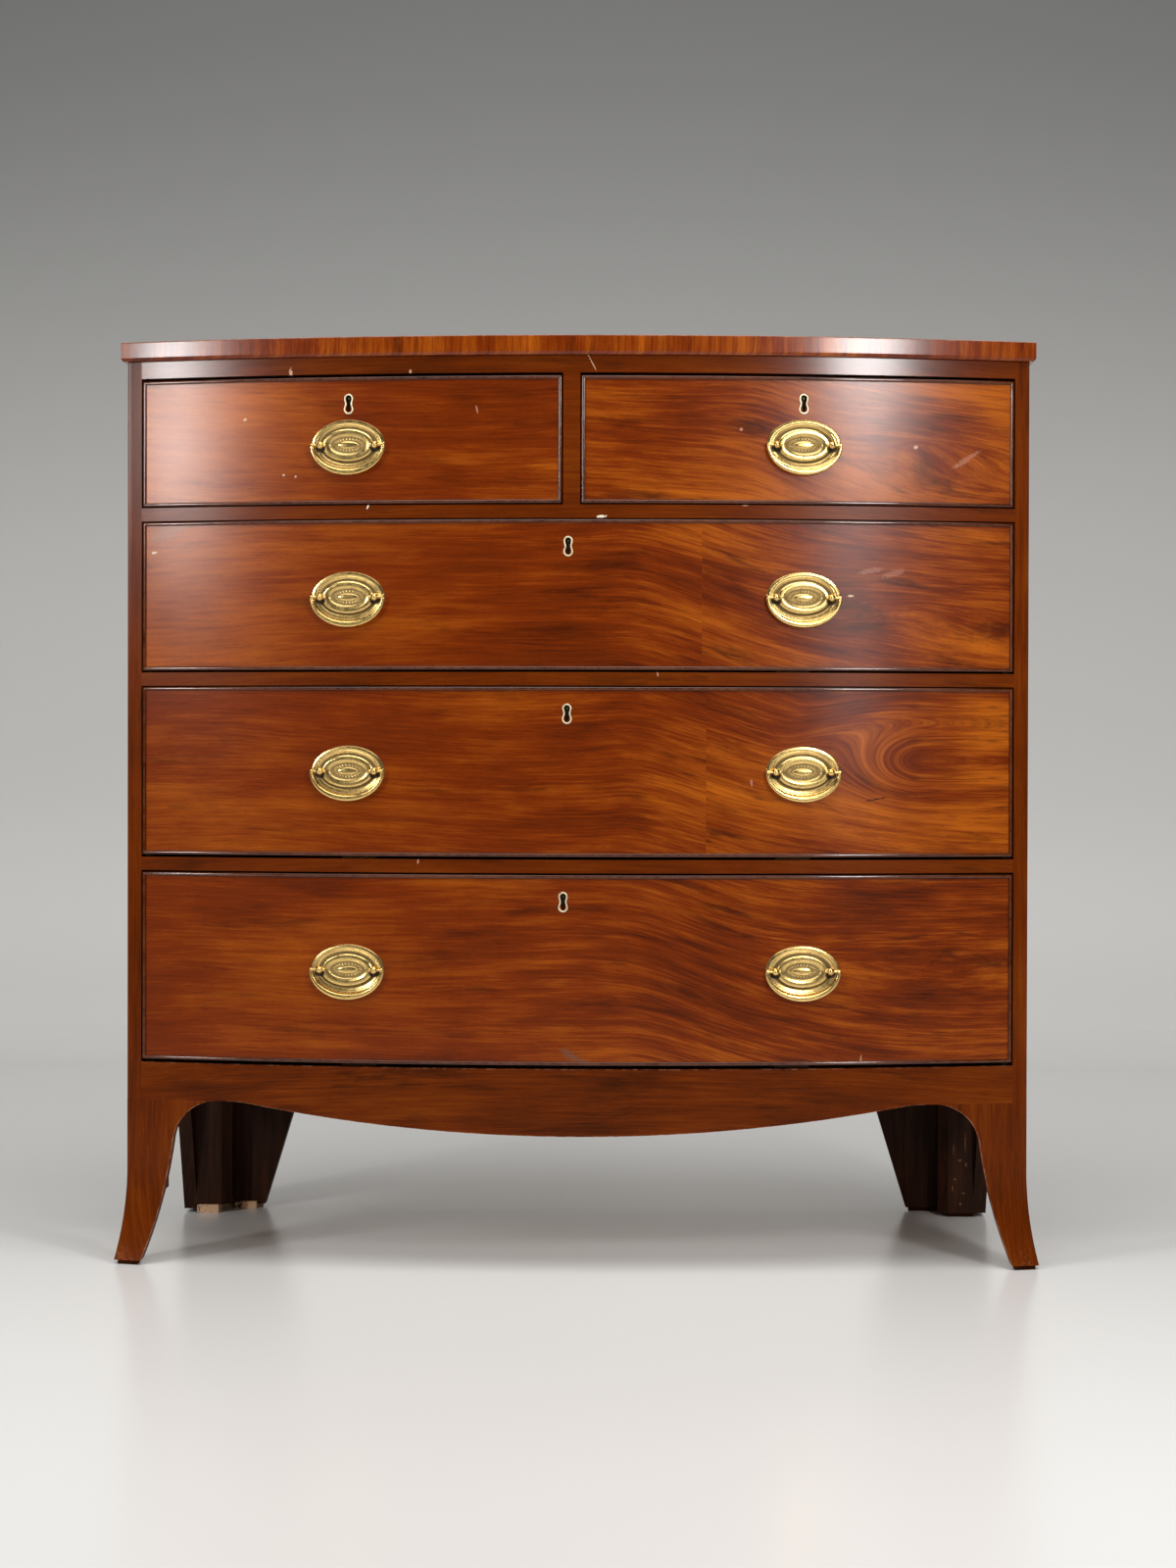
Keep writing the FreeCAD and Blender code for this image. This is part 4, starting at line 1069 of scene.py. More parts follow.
@dataclass
class Lock:
    """Lock case let into the drawer front, its drill pin, and the brass thread round the keyhole."""

    bow: Bow
    x: float
    top: float
    keyhole: Keyhole = field(default_factory=Keyhole)
    drop: float = 31.0 * MM
    width: float = 56.0 * MM
    height: float = 48.0 * MM
    depth: float = 10.0 * MM
    front_thickness: float = 20.0 * MM
    bolt: tuple[float, float] = (22.6 * MM, 7.1 * MM)
    wall: float = 1.75 * MM
    thread_depth: float = 3.0 * MM
    lip: float = 0.3 * MM
    pin: float = 1.3 * MM

    def case(self) -> Shell:
        """Case with the slot for its bolt: a rectangle carried up its outside and down the slot.

        Returns:
            The surface.
        """
        middle = self.front_thickness - self.depth / 2.0
        shell = Shell()
        loops = []
        for wide, deep, z in (
            (self.width, self.depth, -self.height),
            (self.width, self.depth, 0.0),
            (*self.bolt, 0.0),
            (*self.bolt, -self.height / 3.0),
        ):
            x = np.array([-0.5, 0.5, 0.5, -0.5]) * wide
            y = middle + np.array([-0.5, -0.5, 0.5, 0.5]) * deep
            loops.append(stack(x, y, z))
        shell.grid(np.stack(loops), round_columns=True)
        for end in (loops[0], loops[-1]):
            shell.cap(end)
        return self.bow.carry(shell, self.x, self.top)

    def thread(self) -> Shell:
        """Brass lining of the keyhole: its outline carried round a half circle of lip and back.

        Returns:
            The surface.
        """
        lip = np.linspace(0.0, np.pi, 7)
        rows = [(self.wall * (1.0 - math.cos(turn)) / 2.0, -self.lip * math.sin(turn)) for turn in lip]
        rows += [(self.wall, self.thread_depth), (0.0, self.thread_depth)]
        points = []
        for inset, reach in rows:
            outline = self.keyhole.outline(inset)
            points.append(stack(outline[:, 0], np.full(len(outline), reach), outline[:, 1]))
        shell = Shell().grid(np.stack(points), round_rows=True, round_columns=True)
        return self.bow.carry(shell, self.x, self.top - self.drop)

    def drill_pin(self) -> Shell:
        """Round pin that the key turns on.

        Returns:
            The surface.
        """
        start, end = self.thread_depth, self.front_thickness - self.depth
        radii = np.array([0.0, 0.9, 1.0, 1.0, 0.0]) * self.pin
        reach = np.array([start, start, start + 0.3 * MM, end, end])
        centre = (0.0, 0.0, self.keyhole.height / 2.0 - self.keyhole.head)
        return self.bow.carry(Shell().turned(radii, reach, centre, 20), self.x, self.top - self.drop)


# ---------------------------------------------------------------- finishes
Colour = tuple[float, float, float]


def joined(kind: str, swapped: bool = False) -> Callable[["Value", "Operand"], "Value"]:
    """Makes an operator of values.

    Args:
        kind: Operation of the Math node that it adds.
        swapped: Whether the value is the second of the two numbers.

    Returns:
        The operator.
    """

    def operator(self: "Value", other: "Operand") -> "Value":
        """Joins the value and another number."""
        return self.nodes.math(kind, other, self) if swapped else self.nodes.math(kind, self, other)

    return operator


class Value:
    """One output of a node; arithmetic on it adds Math nodes."""

    def __init__(self, nodes: "Nodes", socket: bpy.types.NodeSocket) -> None:
        """Wraps a socket.

        Args:
            nodes: Tree that the socket belongs to.
            socket: The output socket.
        """
        self.nodes = nodes
        self.socket = socket

    __add__ = __radd__ = joined("ADD")
    __mul__ = __rmul__ = joined("MULTIPLY")
    __sub__, __rsub__ = joined("SUBTRACT"), joined("SUBTRACT", swapped=True)
    __truediv__, __rtruediv__ = joined("DIVIDE"), joined("DIVIDE", swapped=True)


Operand = Union[Value, float, int]


class Nodes:
    """Tree of shader nodes that is written as arithmetic."""

    def __init__(self, tree: bpy.types.NodeTree) -> None:
        """Starts with a tree as it stands.

        Args:
            tree: The node tree.
        """
        self.tree = tree

    def node(
        self,
        kind: str,
        settings: dict[str, object],
        inputs: dict[Union[str, int], object],
        output: Union[str, int] = 0,
    ) -> Value:
        """Adds a node.

        Args:
            kind: Node type without its ShaderNode prefix.
            settings: Properties, set before the inputs; stops are those of a colour ramp.
            inputs: Values and links by the name or number of their socket.
            output: Name or number of the output that is wanted.

        Returns:
            That output.
        """
        node = self.tree.nodes.new("ShaderNode" + kind)
        for name, value in settings.items():
            if name == "stops":
                self.set_stops(node.color_ramp.elements, value)
            else:
                setattr(node, name, value)
        for name, value in inputs.items():
            self.put(node.inputs[name], value)
        return Value(self, node.outputs[output])

    @staticmethod
    def set_stops(elements: bpy.types.ColorRampElements, stops: Sequence[tuple[float, Colour]]) -> None:
        """Sets the stops of a colour ramp.

        Args:
            elements: The ramp's elements.
            stops: Place from 0 to 1 and colour of each stop.
        """
        while len(elements) < len(stops):
            elements.new(0.5)
        for element, (place, colour) in zip(elements, stops):
            element.position = place
            element.color = (*colour, 1.0)

    def put(self, socket: bpy.types.NodeSocket, value: object) -> None:
        """Links a value to a socket, or writes a constant there.

        Args:
            socket: The input socket.
            value: Value, number, or colour of three numbers, which is full.
        """
        if isinstance(value, Value):
            self.tree.links.new(value.socket, socket)
        else:
            socket.default_value = (*value, 1.0) if isinstance(value, tuple) else value

    def math(self, kind: str, first: Operand, second: Operand) -> Value:
        """Adds a Math node."""
        return self.node("Math", {"operation": kind}, {0: first, 1: second})


class Paint(Nodes):
    """Material with one plain surface and the patterns that feed it."""

    def __init__(self, name: str) -> None:
        """Starts a material.

        Args:
            name: Name of the material.
        """
        self.material = bpy.data.materials.new(name)
        self.material.use_nodes = True
        super().__init__(self.material.node_tree)
        self.surface = self.tree.nodes["Principled BSDF"]

    def place(self) -> tuple[Value, Value, Value]:
        """X, y and z of the point on the piece, in metres."""
        return self.split(self.node("TexCoord", {}, {}, "Object"))

    def attribute(self, name: str) -> tuple[Value, Value, Value]:
        """The three numbers of a mesh attribute."""
        return self.split(self.node("Attribute", {"attribute_name": name}, {}, "Vector"))

    def split(self, vector: Value) -> tuple[Value, Value, Value]:
        """Parts of a vector."""
        first = self.node("SeparateXYZ", {}, {"Vector": vector})
        return tuple(Value(self, output) for output in first.socket.node.outputs)

    def noise(
        self,
        x: Operand,
        y: Operand,
        z: Operand,
        detail: float = 3.0,
        rough: float = 0.55,
        bend: float = 0.0,
    ) -> Value:
        """Soft noise from 0 to 1.

        Args:
            x: First number of its place, in cells.
            y: Second number.
            z: Third number.
            detail: How many finer layers it has.
            rough: Weight of each finer layer against the one before.
            bend: How far its shapes are bent.

        Returns:
            The noise.
        """
        at = self.node("CombineXYZ", {}, {"X": x, "Y": y, "Z": z})
        inputs = {"Vector": at, "Scale": 1.0, "Detail": detail, "Roughness": rough, "Distortion": bend}
        return self.node("TexNoise", {}, inputs, "Fac")

    def specks(self, cells: float, detail: float, rough: float = 0.55) -> Value:
        """Noise that is the same in all directions, with a number of cells in a metre."""
        return self.noise(*(axis * cells for axis in self.place()), detail, rough)

    def smooth(
        self, value: Value, low: float, high: float, start: Operand = 0.0, end: Operand = 1.0
    ) -> Value:
        """Runs from one number to another with level ends.

        Args:
            value: What it follows.
            low: Value at the start; it may be the greater one.
            high: Value at the end.
            start: Result at the start.
            end: Result at the end.

        Returns:
            The result.
        """
        if high < low:
            low, high, start, end = high, low, end, start
        inputs = {"Value": value, "From Min": low, "From Max": high, "To Min": start, "To Max": end}
        return self.node("MapRange", {"interpolation_type": "SMOOTHSTEP"}, inputs, "Result")

    def mix(self, share: Operand, first: object, second: object) -> Value:
        """Colour between two colours."""
        settings = {"data_type": "RGBA", "clamp_factor": True}
        return self.node("Mix", settings, {0: share, 6: first, 7: second}, 2)

    def bump(self, height: Value, depth: float) -> None:
        """Raises the surface by a height from 0 to 1 times a depth in metres."""
        inputs = {"Strength": 1.0, "Distance": depth, "Height": height}
        self.put(self.surface.inputs["Normal"], self.node("Bump", {}, inputs, "Normal"))

    def finish(self, **inputs: object) -> bpy.types.Material:
        """Sets inputs of the surface.

        Args:
            inputs: Their values, each named with _ for a space.

        Returns:
            The material.
        """
        for name, value in inputs.items():
            self.put(self.surface.inputs[name.replace("_", " ").title().replace("Ior", "IOR")], value)
        return self.material


class Axis(Enum):
    """Direction in which the grain of a piece runs."""

    ACROSS = "X"
    LEVEL = "XY"
    BACK = "Y"
    UP = "Z"


@dataclass(frozen=True)
class Mark:
    """Chip, scratch or bruise: an uneven oval seen from the front, in millimetres and degrees."""

    x: float
    z: float
    length: float
    width: float
    turn: float
    colour: Colour
    strength: float = 1.0

    def over(
        self, paint: Paint, colour: Value, place: tuple[Value, Value], edge: Value, seen: Operand
    ) -> Value:
        """Lays the mark over a colour.

        Along and across the turned oval the place is u and v half axes from its middle, and the mark
        fills u^2 + v^2 < 1, made uneven by the edge.

        Args:
            paint: Finish that is marked.
            colour: Its colour so far.
            place: X and z of the point, in metres.
            edge: Unevenness of the border, about 0.
            seen: Share of the mark that shows.

        Returns:
            The colour with the mark.
        """
        cos, sin = math.cos(math.radians(self.turn)), math.sin(math.radians(self.turn))
        x, z = place[0] - self.x * MM, place[1] - self.z * MM
        along = (x * cos + z * sin) / (self.length * MM)
        over = (z * cos - x * sin) / (self.width * MM)
        away = along * along + over * over + edge
        return paint.mix(paint.smooth(away, 1.3, 0.6) * seen * self.strength, colour, self.colour)


def tones(deep: Colour, middle: Colour, bright: Colour) -> dict[str, Colour]:
    """The three colours of a wood by their names."""
    return {"deep": deep, "middle": middle, "bright": bright}


@dataclass(frozen=True)
class Layer:
    """Noise in wood: cells in a metre along and across the grain, and its own place in the log."""

    along: float
    across: float
    shift: float
    detail: float
    rough: float = 0.55
    bend: float = 0.0

    def at(self, paint: Paint, along: Value, across: Value, leaf: Value) -> Value:
        """The noise at a place in the wood.

        Args:
            paint: Finish that it belongs to.
            along: Place along the grain, in metres.
            across: Place across the grain, in metres.
            leaf: Place in the log.

        Returns:
            Noise from 0 to 1.
        """
        cells = along * self.along, across * self.across, leaf + self.shift
        return paint.noise(*cells, self.detail, self.rough, self.bend)


@dataclass(frozen=True)
class Wood:
    """Polished or bare wood: clouds, bands and fine streaks along its grain, dark smears and pores."""

    name: str
    deep: Colour
    middle: Colour
    bright: Colour
    grain: Axis = Axis.ACROSS
    figured: bool = False
    lively: float = 0.8
    roughness: float = 0.5
    shine: float = 0.0
    coat: float = 1.0
    coat_roughness: float = 0.21
    coat_ior: float = 1.4
    # Strength and colour of the wear, which also paints a highlight on arrises and bead noses.
    wear_and_highlight: float = 0.0
    worn_highlight: Colour = (0.34, 0.16, 0.09)
    marks: tuple[Mark, ...] = ()
    marked_before: Optional[float] = None
    unevenness: float = 1.1 * MM
    waver: float = 14.0 * MM
    mark_cells: float = 380.0
    banded_below: Optional[float] = None
    flat_coat: float = 0.45

    DRIFT = Layer(3.3, 16.0, 3.7, 2.0)
    CLOUD = Layer(4.5, 11.0, 0.0, 3.0, 0.6)
    BANDS = Layer(6.5, 90.0, 9.1, 3.0, 0.6)
    STREAKS = Layer(14.0, 400.0, 5.3, 5.0, 0.78)
    PORES = Layer(110.0, 2600.0, 1.9, 1.0, 0.5)
    SMEARS = Layer(8.5, 55.0, 7.7, 4.0, 0.62, 0.3)
    POLISH = Layer(9.0, 9.0, 2.2, 3.0)
    RIPPLE = Layer(28.0, 50.0, 6.1, 2.0)
    RUB = Layer(90.0, 90.0, 4.4, 4.0, 0.75)

    def build(self) -> bpy.types.Material:
        """Makes the material.

        The tone is a sum of clouds, bands and streaks, and runs through the stops; smears, pores, wear with
        its painted highlight, and marks lie over it.

        Returns:
            The material.
        """
        paint = Paint(self.name)
        along, over, leaf, coat = self.grain_place(paint)
        over = over + (self.DRIFT.at(paint, along, over, leaf) - 0.5) * self.waver
        cloud = self.CLOUD.at(paint, along, over, leaf)
        painted_glow, lively = 0.0, self.lively
        if self.figured:
            # The first number of character is a painted glow that lifts the tone at the ends of the drawer
            # fronts, where the lamps' sheen falls.
            painted_glow, lively, beyond = paint.attribute("character")
            lively = lively * self.lively
            leaf = leaf + paint.math("GREATER_THAN", beyond, 0.5) * 0.8
        bands, streaks, pores, smears, polish, ripple = (
            layer.at(paint, along, over, leaf)
            for layer in (self.BANDS, self.STREAKS, self.PORES, self.SMEARS, self.POLISH, self.RIPPLE)
        )
        # Half of the weights' sum is taken off, so liveliness spreads the tone about its middle.
        tone = (cloud * 0.90 + bands * 0.55 + streaks * 0.80 - 1.125) * lively + 0.5 + painted_glow
        colour = paint.node("ValToRGB", {"stops": self.stops()}, {"Fac": tone}, "Color")
        colour = paint.mix(paint.smooth(smears, 0.54, 0.74) * lively * 0.85, colour, self.deep)
        colour = paint.mix(paint.smooth(pores, 0.56, 0.72) * 0.35, colour, self.deep)
        # Wear with a painted highlight: a paler colour on rubbed arrises, edges and bead noses, laid where
        # the lamps catch them.
        if self.wear_and_highlight:
            rub = self.RUB.at(paint, along, over, leaf)
            aged = paint.attribute("aged")[0]
            rubbed_highlight = paint.smooth(rub + aged * 0.3, 0.62, 0.86) * aged
            colour = paint.mix(rubbed_highlight * self.wear_and_highlight, colour, self.worn_highlight)
        if self.marks:
            x, y, z = paint.place()
            edge = paint.specks(self.mark_cells, 4.0, 0.75) * 5.0 - 2.4
            seen = 1.0
            if self.marked_before is not None:
                seen = paint.math("LESS_THAN", y, self.marked_before)
            for mark in self.marks:
                colour = mark.over(paint, colour, (x, z), edge, seen)
        if self.coat:
            coat = paint.smooth(polish, 0.25, 0.75, self.coat, 0.85 * self.coat) * coat
        paint.bump(bands * 0.15 + polish * 0.35 + ripple * 0.5, self.unevenness)
        return paint.finish(
            base_color=colour,
            roughness=paint.smooth(polish, 0.3, 0.7, self.roughness - 0.06, self.roughness + 0.08),
            specular_ior_level=self.shine,
            coat_weight=coat if self.coat else 0.0,
            coat_roughness=self.coat_roughness,
            coat_ior=self.coat_ior,
        )

    def grain_place(self, paint: Paint) -> tuple[Value, Value, Value, Operand]:
        """Place in the wood.

        Args:
            paint: Finish that it belongs to.

        Returns:
            Place along the grain, across it and in the depth of the log, and the share of the coat.
        """
        if self.figured:
            return *paint.attribute("grain"), 1.0
        x, y, z = paint.place()
        along, over, leaf = {
            Axis.ACROSS: (x, z + y * 0.35, y * 2.0),
            Axis.LEVEL: (x, y + z, z * 2.0),
            Axis.BACK: (y, x + z * 0.35, z * 2.0),
            Axis.UP: (z, x + y * 0.8, x * 2.0),
        }[self.grain]
        if self.banded_below is not None:
            on_edge = paint.smooth(z, self.banded_below, self.banded_below - 0.4 * MM)
            along = along + on_edge * (z - along)
            over = over + on_edge * (x * 0.8 + y * 0.8 - over)
            return along, over, leaf, self.flat_coat + on_edge * (1.0 - self.flat_coat)
        return along, over, leaf, 1.0

    def stops(self) -> list[tuple[float, Colour]]:
        """Colours from the darkest streak to the lightest."""
        between = tuple((a + b) / 2.0 for a, b in zip(self.deep, self.middle))
        return [(0.20, self.deep), (0.34, between), (0.48, self.middle), (0.78, self.bright)]


@dataclass(frozen=True)
class Metal:
    """Metal with dull patches, and with the dirt and painted shade that its mesh says lie in its hollows.
    """

    name: str
    bright: Colour
    dull: Colour
    roughness: float = 0.20
    dent_depth: float = 0.02 * MM
    patch_cells: float = 160.0
    dent_cells: float = 300.0
    dirt_and_shade_colour: Optional[Colour] = None

    def build(self) -> bpy.types.Material:
        """Makes the material.

        Returns:
            The material.
        """
        paint = Paint(self.name)
        patches = paint.specks(self.patch_cells, 4.0, 0.6)
        dents = paint.specks(self.dent_cells, 1.0)
        colour = paint.mix(paint.smooth(patches, 0.48, 0.74) * 0.7, self.bright, self.dull)
        rough = paint.smooth(patches, 0.35, 0.7, self.roughness, self.roughness + 0.10)
        metallic = 1.0
        # Dirt and painted shade read from the mesh: darker, rougher and less metallic in the hollows and
        # under the posts.
        if self.dirt_and_shade_colour:
            dirt_and_painted_shade = paint.attribute("aged")[0]
            colour = paint.mix(dirt_and_painted_shade, colour, self.dirt_and_shade_colour)
            rough = rough + dirt_and_painted_shade * 0.3
            metallic = 1.0 - dirt_and_painted_shade * 0.6
        paint.bump(dents, self.dent_depth)
        return paint.finish(base_color=colour, metallic=metallic, roughness=rough)


@dataclass(frozen=True)
class Finishes:
    """Every finish of the chest, by the material slot that it belongs to."""

    arris: float
    rear: float

    def build(self) -> dict[str, bpy.types.Material]:
        """Makes the materials.

        Returns:
            Each by its slot, or by its own name where several share a slot.
        """
        red = tones((0.030, 0.0042, 0.0003), (0.150, 0.0195, 0.0003), (0.37, 0.085, 0.0035))
        brown = tones((0.022, 0.0045, 0.0005), (0.110, 0.0170, 0.0005), (0.19, 0.040, 0.0018))
        bare = tones((0.13, 0.055, 0.020), (0.34, 0.17, 0.068), (0.48, 0.28, 0.125))
        tan = tones((0.14, 0.058, 0.020), (0.34, 0.165, 0.066), (0.47, 0.265, 0.115))
        black = tones((0.008, 0.0024, 0.0008), (0.032, 0.0100, 0.0034), (0.080, 0.024, 0.008))
        plain = {"coat": 0.0, "shine": 0.3}
        woods = {
            "front_veneer": Wood("figured_veneer", figured=True, coat=0.75, marks=self.knocks(), **red),
            "front_core": Wood("front_mahogany", lively=0.75, coat=0.15, roughness=0.55, **red),
            "top_veneer": Wood(
                "top_veneer", grain=Axis.LEVEL, banded_below=self.arris - 0.3 * MM, coat_roughness=0.17,
                wear_and_highlight=0.6, worn_highlight=(0.50, 0.30, 0.22), **red,
            ),
            "frieze_veneer": Wood(
                "frieze_veneer", lively=0.55, coat=0.85, coat_roughness=0.17, marks=self.chips(), **brown
            ),
            "rail_veneer": Wood("rail_veneer", lively=0.55, coat=0.45, marks=self.chips(), **brown),
            "case_mahogany": Wood("side_mahogany", grain=Axis.UP, lively=0.6, coat=0.30, **brown),
            "apron": Wood("apron_mahogany", lively=0.8, coat=0.30, wear_and_highlight=0.9, **brown),
            "foot_mahogany": Wood("foot_mahogany", grain=Axis.UP, lively=0.8, coat=0.30, wear_and_highlight=0.9, **brown),
            "bead_mahogany": Wood(
                "bead_mahogany", (0.018, 0.0035, 0.0006), (0.055, 0.0100, 0.0008), (0.10, 0.022, 0.002),
                coat_roughness=0.10, coat_ior=1.5, wear_and_highlight=0.5, worn_highlight=(0.15, 0.055, 0.030),
            ),
            "dark_wood": Wood(
                "dark_wood", grain=Axis.UP, coat=0.1, roughness=0.6, shine=0.1, marks=self.flakes(),
                marked_before=self.rear - 12.0 * MM, **black,
            ),
            "foot_pad": Wood("pad_wood", grain=Axis.UP, coat=0.0, marks=self.shims(), **black),
            "pine": Wood("pine", roughness=0.75, lively=0.6, **bare, **plain),
            "back_pine": Wood("back_pine", grain=Axis.UP, roughness=0.8, lively=0.7, **bare, **plain),
            "oak": Wood("oak", grain=Axis.BACK, roughness=0.7, lively=0.7, **tan, **plain),
        }
        metals = {
            "brass": Metal("brass", (0.82, 0.56, 0.20), (0.52, 0.33, 0.11), dirt_and_shade_colour=(0.030, 0.017, 0.006)),
            "lock_metal": Metal("lock_brass", (0.10, 0.075, 0.045), (0.05, 0.038, 0.024), 0.5),
            "keyhole_thread": Metal("thread_brass", (0.86, 0.76, 0.52), (0.60, 0.48, 0.28), 0.42),
            "bolt_steel": Metal("bolt_iron", (0.42, 0.40, 0.38), (0.20, 0.17, 0.15), 0.4),
        }
        return {slot: finish.build() for slot, finish in {**woods, **metals}.items()}

    @staticmethod
    def knocks() -> tuple[Mark, ...]:
        """Old knocks in the drawer fronts.

        Returns:
            The marks.
        """
        pale, pink = (0.55, 0.38, 0.26), (0.38, 0.17, 0.11)
        grey, dark = (0.130, 0.065, 0.042), (0.015, 0.004, 0.002)
        return (
            Mark(452.0, 941.0, 19.0, 2.6, 31.0, pink, 0.45),
            Mark(445.0, 934.0, 12.0, 1.4, 24.0, pink, 0.35),
            Mark(392.0, 953.0, 2.6, 2.4, 0.0, pale, 0.8),
            Mark(190.0, 971.0, 2.4, 1.6, 20.0, pink),
            Mark(340.0, 810.0, 15.0, 3.2, 10.0, pink, 0.35),
            Mark(366.0, 807.0, 14.0, 4.0, 18.0, pink, 0.35),
            Mark(316.0, 781.0, 4.0, 1.3, 5.0, pale),
            Mark(347.0, 547.0, 15.0, 0.9, 10.0, dark),
            Mark(203.0, 566.0, 1.4, 4.0, 0.0, pink, 0.8),
            Mark(-5.0, 253.0, 13.0, 5.0, -33.0, grey, 0.5),
            Mark(9.0, 246.0, 8.0, 3.0, -20.0, grey, 0.5),
            Mark(-476.0, 856.0, 25.0, 8.0, 24.0, (0.22, 0.10, 0.07), 0.45),
            Mark(-493.0, 832.0, 3.0, 1.5, 0.0, pale),
            Mark(-384.0, 985.0, 1.9, 1.9, 0.0, pale),
            Mark(-338.0, 920.0, 1.6, 1.3, 0.0, pale, 0.8),
            Mark(-324.0, 918.0, 1.6, 1.3, 0.0, pale, 0.8),
            Mark(-113.0, 993.0, 1.0, 5.0, 12.0, pink, 0.8),
            Mark(330.0, 245.5, 1.0, 6.0, -6.0, pale, 0.6),
        )

    @staticmethod
    def chips() -> tuple[Mark, ...]:
        """Chips and scratches in the frieze and the rails.

        Returns:
            The marks.
        """
        pale, pink = (0.72, 0.62, 0.48), (0.50, 0.28, 0.17)
        return (
            Mark(30.0, 870.6, 6.0, 1.7, 4.0, pale),
            Mark(19.0, 1046.5, 11.0, 0.7, -62.0, pink),
            Mark(-330.0, 1038.5, 2.0, 6.0, 8.0, pink),
            Mark(-239.0, 883.0, 1.0, 4.5, -20.0, pale),
            Mark(-190.0, 1037.0, 1.6, 2.4, 0.0, pink, 0.8),
            Mark(195.0, 884.0, 3.0, 0.9, 0.0, pink, 0.8),
            Mark(95.0, 690.0, 1.0, 3.0, 10.0, pink, 0.8),
            Mark(-180.0, 475.0, 1.0, 3.2, -8.0, pink, 0.8),
        )

    @staticmethod
    def flakes() -> tuple[Mark, ...]:
        """Flaked stain on the glue block of the right rear foot.

        Returns:
            The marks.
        """
        tan = (0.30, 0.13, 0.045)
        return tuple(
            Mark(x, z, width, height, 0.0, tan, 0.5)
            for x, z, width, height in (
                (493.0, 96.0, 0.7, 12.0),
                (486.0, 74.0, 2.2, 1.8),
                (494.0, 68.0, 1.2, 3.4),
                (478.0, 88.0, 0.7, 7.0),
                (480.0, 49.0, 1.8, 1.4),
                (477.0, 37.0, 1.0, 3.4),
                (491.0, 31.0, 2.2, 1.2),
                (487.0, 17.0, 1.4, 1.8),
            )
        )

    @staticmethod
    def shims() -> tuple[Mark, ...]:
        """Pale shims under the left rear foot."""
        pale = (0.66, 0.42, 0.26)
        return Mark(-480.0, 0.0, 24.0, 60.0, 0.0, pale), Mark(-438.0, 0.0, 14.0, 60.0, 0.0, pale)


# ---------------------------------------------------------------- the chest
@dataclass(frozen=True)
class Figure:
    """Course of the grain over a drawer front: level at the left, fanned and round an eye at the right."""

    eye: tuple[float, float]
    spread: tuple[float, float]
    leaf: float
    pull: float = 0.9
    seam: Optional[float] = None
    fan: float = 0.95
    fan_reach: float = 0.09
    closing: float = 0.25
    rings: float = 1.0
    crest: bool = False
    # Painted glow: how far the tone is lifted at the left and right ends, strongest on the top drawers.
    painted_glow_left: float = 0.0
    painted_glow_right: float = 0.0

    # Height of a slow wave in the grain, and its turns along x, up z and from leaf to leaf.
    WAVES = ((0.006, 5.2, 0.0, 3.0), (0.004, 11.0, 9.0, 1.0))
    # Distances from the middle over which the painted glow at the two ends rises.
    PAINTED_GLOW_LEFT = (0.20, 0.46)
    PAINTED_GLOW_RIGHT = (0.10, 0.36)

    def field(self, points: Array) -> Array:
        """Course of the grain.

        From a little before the seam the grain falls away by fan * reach * (1 - (1 + a) * exp(-a)), where
        a is the run in reaches. Inside the eye the place across the grain turns into a crest, which drops
        with the distance from the eye's middle times rings, or into a hollow, which rises with it, and
        closing says how far its rings close again at the right.

        Args:
            points: Points on the front.

        Returns:
            Place along the grain, across it and in the log for each point.
        """
        x, z = points[:, 0], points[:, 2]
        across = (x - self.eye[0]) / self.spread[0]
        across = np.where(across > 0.0, across * self.closing, across)
        up = (z - self.eye[1]) / self.spread[1]
        distance = np.hypot(across, up)
        share = self.pull * smooth(-distance, -2.0, -0.3)
        level = z - self.eye[1]
        wave = sum(
            height * np.sin(along * x + upward * level + step * self.leaf)
            for height, along, upward, step in self.WAVES
        )
        radius = self.rings * self.spread[1]
        eye = self.fall(self.eye[0]) + radius * (0.75 - distance) if self.crest else radius * distance
        over = (1.0 - share) * (level + wave + self.fall(x)) + share * eye
        return np.stack([x, over, np.full_like(x, self.leaf)], axis=-1)

    def fall(self, x: Union[Array, float]) -> Union[Array, float]:
        """How far the grain has fallen away at x."""
        ahead = np.clip(x - self.seam_x(), 0.0, None) / self.fan_reach
        return self.fan * self.fan_reach * (1.0 - (1.0 + ahead) * np.exp(-ahead))

    def character(self, points: Array) -> Array:
        """Painted glow that lifts the tone at the ends, liveliness of the streaks, and side of the joint in
        the veneer.

        Args:
            points: Points on the front.

        Returns:
            The three for each point; the side is 0 or 1.
        """
        x = points[:, 0]
        painted_glow = self.painted_glow_left * smooth(-x, *self.PAINTED_GLOW_LEFT)
        painted_glow += self.painted_glow_right * smooth(x, *self.PAINTED_GLOW_RIGHT)
        lively = 0.62 + 0.58 * smooth(x, -0.25, 0.25)
        beyond = (x > self.seam).astype(float) if self.seam is not None else np.zeros_like(x)
        return np.stack([painted_glow, lively, beyond], axis=-1)

    def seam_x(self) -> float:
        """Where the fan of the grain begins."""
        return self.seam - 0.10 if self.seam is not None else self.eye[0] - 1.6 * self.spread[0]


